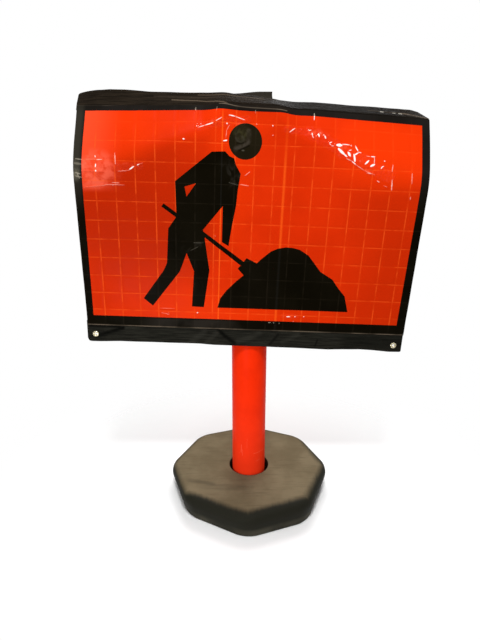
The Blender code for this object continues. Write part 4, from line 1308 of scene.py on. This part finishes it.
# Battens. Two flat strips of glass fibre in the pockets, which keep the cloth spread when it is
# unrolled. They are cut from pulled strip with square edges, and follow the hems' lean.
BATTEN_COLUMNS = 161
BATTEN_ROWS = 7
glass_fibre = Finish("glass_fibre", Specular_IOR_Level=0.45)
flat = glass_fibre.noted("flat", "Vector")
strand = glass_fibre.noise(glass_fibre.stretched(flat, 3.0, 160.0, 160.0), 6.0, 4.0, 0.6)
glass_fibre.feed(
    Base_Color=glass_fibre.tint(strand, (0.50, 0.47, 0.36), (0.68, 0.66, 0.55)),
    Roughness=strand.between(0.3, 0.7, 0.30, 0.45),
    Normal=glass_fibre.bump(strand, 0.00012),
)
in_pocket = LAYER_OFF + HEM_T / 2 + POCKET_GAP / 2
for name, edge_v, way, height, half in (
    ("top_batten", FACE_H, 1, TOP_HEM_H, TOP_BATTEN_HALF),
    ("bottom_batten", FACE_LOW, -1, BOTTOM_HEM_H, BOTTOM_BATTEN_HALF),
):

    def batten_place(u, out):
        out = out + (height - BATTEN_W) / 2
        return hung(u, edge_v + way * out, in_pocket), np.stack([u, out, 0 * u], -1)

    columns = np.linspace(-half, half, BATTEN_COLUMNS)
    rows = np.linspace(0, BATTEN_W, BATTEN_ROWS)
    batten = cloth("fibre_" + name, columns, rows, batten_place)
    thickened(batten, BATTEN_T)
    finished(batten, [glass_fibre], "batten", "sign_head", name)


# Eyelets. A brass eyelet in each lower corner for a tie, rolled over a washer at the back. Both
# are stamped from thin sheet and have gone dull from the weather in patches.
EYELETS = {"left": (-0.4290, -0.0250), "right": (0.4262, -0.0295)}
EYELET_R = 0.0085
EYELET_FLANGE = 0.0012
BARREL_R = 0.0047
BORE_R = 0.0037
ROLL_R = 0.0062
ROLL_T = 0.0009
WASHER_T = 0.0008
WASHER_EDGE = 0.0003
HOLE_FIT = 0.0004
PUNCH_H = 0.0200

brass = Finish("eyelet_brass", Specular_IOR_Level=0.5)
tarnish = brass.noise(brass.place(), 330.0, 4.0, 0.6)
brass.feed(
    Base_Color=brass.tint(tarnish.between(0.38, 0.62), (0.62, 0.57, 0.42), (0.30, 0.26, 0.15)),
    Metallic=tarnish.between(0.2, 0.8, 1.0, 0.9),
    Roughness=tarnish.between(0.35, 0.65, 0.16, 0.42),
    Normal=brass.bump(tarnish, 0.00006),
)

hem_front = LAYER_OFF - HEM_T / 2
hem_back = LAYER_OFF + HEM_FLAT_GAP + HEM_T * 1.5
depth = hem_back + SEAT + WASHER_T + SEAT - hem_front
dome = [
    (BARREL_R, -depth), (ROLL_R * 0.96, -depth), (ROLL_R, -depth - ROLL_T * 0.35),
    (ROLL_R * 0.94, -depth - ROLL_T * 0.85), (ROLL_R * 0.80, -depth - ROLL_T),
    (BORE_R * 1.08, -depth - ROLL_T * 0.75), (BORE_R, -depth - ROLL_T * 0.2),
    (BORE_R, EYELET_FLANGE * 0.35), (BORE_R * 1.06, EYELET_FLANGE * 0.8),
    (BORE_R * 1.20, EYELET_FLANGE + SEAT), (EYELET_R * 0.72, EYELET_FLANGE + SEAT * 1.6),
    (EYELET_R * 0.88, EYELET_FLANGE), (EYELET_R * 0.97, EYELET_FLANGE * 0.7),
    (EYELET_R, EYELET_FLANGE * 0.4), (EYELET_R * 0.98, SEAT), (BARREL_R, SEAT),
]
punch_r = BARREL_R + HOLE_FIT
ring = [
    (punch_r, WASHER_T), (punch_r, 0.0), (EYELET_R - WASHER_EDGE, 0.0), (EYELET_R, WASHER_EDGE),
    (EYELET_R, WASHER_T - WASHER_EDGE), (EYELET_R - WASHER_EDGE, WASHER_T),
]
facing = Matrix.Rotation(math.pi / 2, 4, "X")
for side, (u, v) in EYELETS.items():
    for name, outline, off in (
        (f"eyelet_{side}", dome, hem_front),
        (f"eyelet_washer_{side}", ring, hem_back + SEAT + WASHER_T),
    ):
        made = turned("brass_" + name, outline, 48)
        made.data.transform(Matrix.Translation(hung(u, v, off)) @ facing)
        finished(made, [brass], "eyelet_brass", "sign_head", name)
    cylinder = bpy.ops.mesh.primitive_cylinder_add
    punch = added("punch", cylinder, vertices=48, radius=punch_r, depth=PUNCH_H)
    punch.data.transform(Matrix.Translation(hung(u, v)) @ facing)
    cut(low_hem, punch)

finished(top_hem, [top_cloth], "hem_fabric", "sign_head", "top_hem", sharp=50)
finished(low_hem, [low_cloth], "hem_fabric", "sign_head", "bottom_hem", sharp=50)


# Rear sleeve. A panel of the hems' black cloth behind the face, welded to it along two upright
# lines and drawn round the back of the tube, so that the head can be slipped down over the
# post. It hangs in soft folds between the tube and its welds.
SLEEVE_T = 0.0010
SLEEVE_FIT = 0.0015
SEAM_W = 0.0120
SEAM_OFF = FACE_T / 2 + SEAT + SLEEVE_T / 2
SLEEVE_LOW = HEM_LAP + 0.0030
SLEEVE_TOP = TUBE_TOP - 0.0050
SLEEVE_ROWS = 150
SEAM_POINTS = 5
SPAN_STEPS = 9
ARC_POINTS = 49
HELD_POINTS = 22
FREED_POINTS = 6
GIRTH_ROW = 40
FOLD_DEPTH = 0.0006
DRAPE_DEPTH = 0.0004
RUCK_DEPTH = 0.0012
LOOSE_DEPTH = 0.0022
sleeve_r = TUBE_R + SLEEVE_FIT + SLEEVE_T / 2


def touching(point, radius, side):
    """The angle about the tube's axis where a line from a point touches its back."""
    reach = math.acos(min(radius / math.hypot(point[0], point[1]), 1.0))
    return math.atan2(point[1], point[0]) + side * reach


def sleeve_section(v):
    """Points round the sleeve at height v of the sheet, with how slack the cloth is at each."""
    outer, inner = SEAM_U + SEAM_W / 2, SEAM_U - SEAM_W / 2
    left = [hung(-u, v, SEAM_OFF) for u in np.linspace(outer, inner, SEAM_POINTS)]
    right = [hung(u, v, SEAM_OFF) for u in np.linspace(inner, outer, SEAM_POINTS)]
    low = touching(right[0], sleeve_r, 1)
    high = touching(left[-1], sleeve_r, -1) % (2 * math.pi)
    arc = [
        np.array([sleeve_r * math.cos(turn), sleeve_r * math.sin(turn), 0.0])
        for turn in np.linspace(high, low, ARC_POINTS)
    ]
    shares = np.linspace(0, 1, SPAN_STEPS)[1:-1]
    there = [mix(left[-1], arc[0], t) for t in shares]
    back = [mix(arc[-1], right[0], t) for t in shares]
    path = np.array(left + there + arc + back + right)
    loose = [math.sin(math.pi * t) for t in shares]
    welded, held = [0.0] * SEAM_POINTS, [0.0] * ARC_POINTS
    free = slice(SEAM_POINTS, -SEAM_POINTS)
    path[free, 2] = np.linspace(left[-1][2], right[0][2], len(path[free]))
    return path, np.array(welded + loose + held + loose[::-1] + welded)


sleeve_rows = np.linspace(SLEEVE_LOW, SLEEVE_TOP - SHEET_LOW, SLEEVE_ROWS)
sections = [sleeve_section(v) for v in sleeve_rows]
round_sleeve = np.array([path for path, _ in sections])
slack = np.array([loose for _, loose in sections])
girth = run_along(round_sleeve[GIRTH_ROW])


def sleeve_place(i, j):
    i, j = i.astype(int), j.astype(int)
    point = round_sleeve[j, i]
    v, around = sleeve_rows[j], girth[i]
    on_tube = 1 - ease((np.abs(i - (len(girth) - 1) / 2) - HELD_POINTS) / FREED_POINTS)
    away = point * [1, 1, 0]
    away = away / np.maximum(np.linalg.norm(away, axis=1), 1e-6)[:, None]
    folds = 1 + np.sin(v * 41 + 5 * np.sin(around * 19) + around * 30)
    drape = 1 + np.sin(v * 96 + around * 52 + 3 * np.sin(v * 13))
    ruck = np.exp(-(((v - sleeve_rows[-1] + 0.03) / 0.05) ** 2))
    out = on_tube * (FOLD_DEPTH * folds + DRAPE_DEPTH * drape + RUCK_DEPTH * ruck * folds)
    loose = slack[j, i]
    side = np.sign(point[:, 0])
    inward = LOOSE_DEPTH * loose * np.sin(v * 33 + side * 1.1)
    inward = inward + RUCK_DEPTH * loose * np.sin(v * 87 + 2)
    point = point + away * out[:, None]
    point[:, 0] += side * inward
    return point, np.stack([around, v, loose], -1)


sleeve_cloth = coated_cloth("sleeve_cloth", (0.0160, 0.0150, 0.0130))
sleeve = cloth("post_sleeve", range(len(girth)), range(SLEEVE_ROWS), sleeve_place)
thickened(sleeve, SLEEVE_T)
finished(sleeve, [sleeve_cloth], "hem_fabric", "sign_head", "rear_sleeve", sharp=50)


# Sleeve cap. A piece of coarse black weave that closes the sleeve's top: it is lapped round the
# sleeve at the back, goes up and over the grip's bar, and is sewn down behind the face.
CAP_T = 0.0010
CAP_W = 0.1080
CAP_SIDE = math.radians(24)
CAP_REAR_LAP = 0.0260
CAP_FIT = 0.0007
CAP_FRONT_LOW = 0.0680
CAP_FRONT_LAP = 0.0240
CAP_BLEND_DOWN = 0.0380
CAP_TURN = 0.0060
CAP_ROUND_UP = 0.0080
CAP_COLUMNS = 48
CAP_RISE = 0.0045
CAP_RISE_U = -0.0450
CAP_RISE_SPAN = 0.0700
CAP_BETWEEN = 8
WEAVE_PITCH = 0.0032
cap_r = TUBE_R + SLEEVE_FIT + SLEEVE_T + CAP_FIT + CAP_T / 2
beside_bar = BAR_T / 2 + 0.0010 + CAP_T / 2
over_bar = POST_H + SEAT + CAP_T / 2
cap_path = [
    ("round", 0.0, SLEEVE_TOP - CAP_REAR_LAP),
    ("round", 0.0, SLEEVE_TOP),
    ("round", 0.0, SLEEVE_TOP + CAP_ROUND_UP),
    ("blend", beside_bar, POST_H - CAP_BLEND_DOWN),
    ("bar", beside_bar, POST_H - CAP_TURN),
    ("bar", beside_bar - CAP_TURN / 2, over_bar),
    ("bar", -beside_bar + CAP_TURN / 2, over_bar),
    ("bar", -beside_bar, POST_H - CAP_TURN),
    ("face", 0.0, FACE_H - CAP_FRONT_LOW + CAP_FRONT_LAP),
    ("face", 0.0, FACE_H - CAP_FRONT_LOW),
]


def cap_point(turn, row):
    kind, y, z = row
    x = CAP_W / 2 * math.cos(turn) / math.cos(CAP_SIDE)
    ring_x, ring_y = cap_r * math.cos(turn), cap_r * math.sin(turn)
    if kind == "round":
        return np.array([ring_x, ring_y, z])
    if kind == "blend":
        return np.array([mix(ring_x, x, 0.5), mix(ring_y, y, 0.5), z])
    if kind == "face":
        return hung(x, z, SEAM_OFF)
    proud = CAP_RISE * float(ease((x - CAP_RISE_U) / CAP_RISE_SPAN))
    return np.array([x, y, z + (proud if z > POST_H - CAP_TURN / 2 else 0.0)])


def eased_between(points, count):
    """A soft line through points, with count steps from each to the next, that stays close."""
    padded = [2 * points[0] - points[1], *points, 2 * points[-1] - points[-2]]
    line = []
    for a, b, c, d in zip(padded, padded[1:], padded[2:], padded[3:]):
        pull = 0.25 * min(np.linalg.norm(c - b), 0.02) / 0.02
        for t in np.arange(count) / count:
            straight = mix(b, c, t)
            bow = t * (1 - t) * ((1 - t) * (c - a) - t * (d - b)) * pull
            line.append(straight + bow * 0.5)
    return np.array(line + [points[-1]])


turns = np.linspace(math.pi - CAP_SIDE, CAP_SIDE, CAP_COLUMNS + 1)
cap_lines = np.array(
    [eased_between([cap_point(turn, row) for row in cap_path], CAP_BETWEEN) for turn in turns]
)
cap_run = run_along(cap_lines[CAP_COLUMNS // 2])


def cap_place(i, j):
    i, j = i.astype(int), j.astype(int)
    across = CAP_W * (i / CAP_COLUMNS - 0.5)
    return cap_lines[i, j], np.stack([across, cap_run[j], np.zeros(len(i))], -1)


weave_cloth = Finish("cap_weave", Specular_IOR_Level=0.06)
flat = weave_cloth.noted("flat", "Vector")
over, under = ((flat.part(axis) * (2 * math.pi / WEAVE_PITCH)).fn("SINE") for axis in "XY")
basket = over * under
speckle = weave_cloth.noise(flat, 700.0, 3.0, 0.7)
dark = weave_cloth.tint(basket.between(-0.6, 0.8), (0.010, 0.009, 0.007), (0.050, 0.040, 0.028))
weave_cloth.feed(
    Base_Color=weave_cloth.tint(speckle.between(0.62, 0.76, 0.0, 0.5), dark, (0.14, 0.10, 0.06)),
    Roughness=basket.between(-1.0, 1.0, 0.80, 0.55),
    Normal=weave_cloth.bump(basket, 0.00035, weave_cloth.bump(speckle, 0.00025)),
)
cap = cloth("sleeve_end", range(CAP_COLUMNS + 1), range(len(cap_run)), cap_place)
thickened(cap, CAP_T)
finished(cap, [weave_cloth], "cap_weave", "sign_head", "sleeve_cap", sharp=50)


# Studio. A plain pale floor that fades into a white surround, a lamp above and in front of the
# sign and one behind it, a small one for the foot of the post and a weak one from the right.
FLOOR_R = 6.0
SURROUND_LIGHT = 0.32
floor = added("floor", bpy.ops.mesh.primitive_plane_add, size=2 * FLOOR_R)
pale = (0.97, 0.97, 0.97, 1.0)
ground = Finish("floor_white", Specular_IOR_Level=0.0, Base_Color=pale, Roughness=0.9)
floor.data.materials.append(ground.material)
away = ground.node("VectorMath", {"operation": "LENGTH"}, {0: ground.place()}, 1)
clear = ground.node("BsdfTransparent", {}, {})
solid = Pattern(ground, ground.shader.outputs[0])
mixed = ground.node("MixShader", {}, {0: away.between(0.32, 0.90), 1: solid, 2: clear})
ground.tree.links.new(mixed.socket, ground.tree.nodes["Material Output"].inputs["Surface"])

# The camera sees the surround white, and it lights the sign only weakly
surround = bpy.data.worlds.new("surround")
bpy.context.scene.world = surround
surround.use_nodes = True
surround.node_tree.nodes.clear()
sky = Nodes(surround.node_tree)
seen = sky.node("LightPath", {}, {}, "Is Camera Ray")
for ray in ("Is Glossy Ray", "Is Transmission Ray"):
    seen = seen.fn("MAXIMUM", sky.node("LightPath", {}, {}, ray))
plain, white = (
    sky.node("Background", {}, {"Color": (1.0, 1.0, 1.0, 1.0), "Strength": strength})
    for strength in (SURROUND_LIGHT, 1.0)
)
either = sky.node("MixShader", {}, {0: seen, 1: plain, 2: white})
out = surround.node_tree.nodes.new("ShaderNodeOutputWorld")
surround.node_tree.links.new(either.socket, out.inputs["Surface"])


def lamp(name, place, towards, size, watts):
    bpy.ops.object.select_all(action="DESELECT")
    bpy.ops.object.light_add(type="AREA", location=place)
    made = bpy.context.object
    made.name = name
    made.data.shape = "RECTANGLE"
    made.data.size, made.data.size_y = size
    made.data.energy = watts
    made.rotation_euler = (Vector(towards) - Vector(place)).to_track_quat("-Z", "Y").to_euler()


lamp("key_lamp", (-0.06, -1.30, 2.80), (0, 0, 0.8), (0.5, 0.35), 47.0)
lamp("post_lamp", (-0.45, -1.15, 0.26), (0, 0, 0.26), (0.4, 0.3), 5.2)
lamp("fill_lamp", (1.9, -1.8, 1.8), (0, 0, 0.7), (1.2, 1.2), 3.0)
lamp("back_lamp", (0.2, 1.5, 2.1), (0, 0.2, 0.1), (1.8, 1.2), 46.0)

CAMERA_PLACE = (-0.028, -1.350, 1.025)
CAMERA_DOWN = math.radians(18.4)
LENS_MM = 27.0
SENSOR_MM = 36.0
bpy.ops.object.camera_add(location=CAMERA_PLACE, rotation=(math.pi / 2 - CAMERA_DOWN, 0, 0))
camera = bpy.context.object
camera.data.lens = LENS_MM
camera.data.sensor_width = SENSOR_MM
bpy.context.scene.camera = camera
bpy.context.scene.view_settings.view_transform = "Standard"
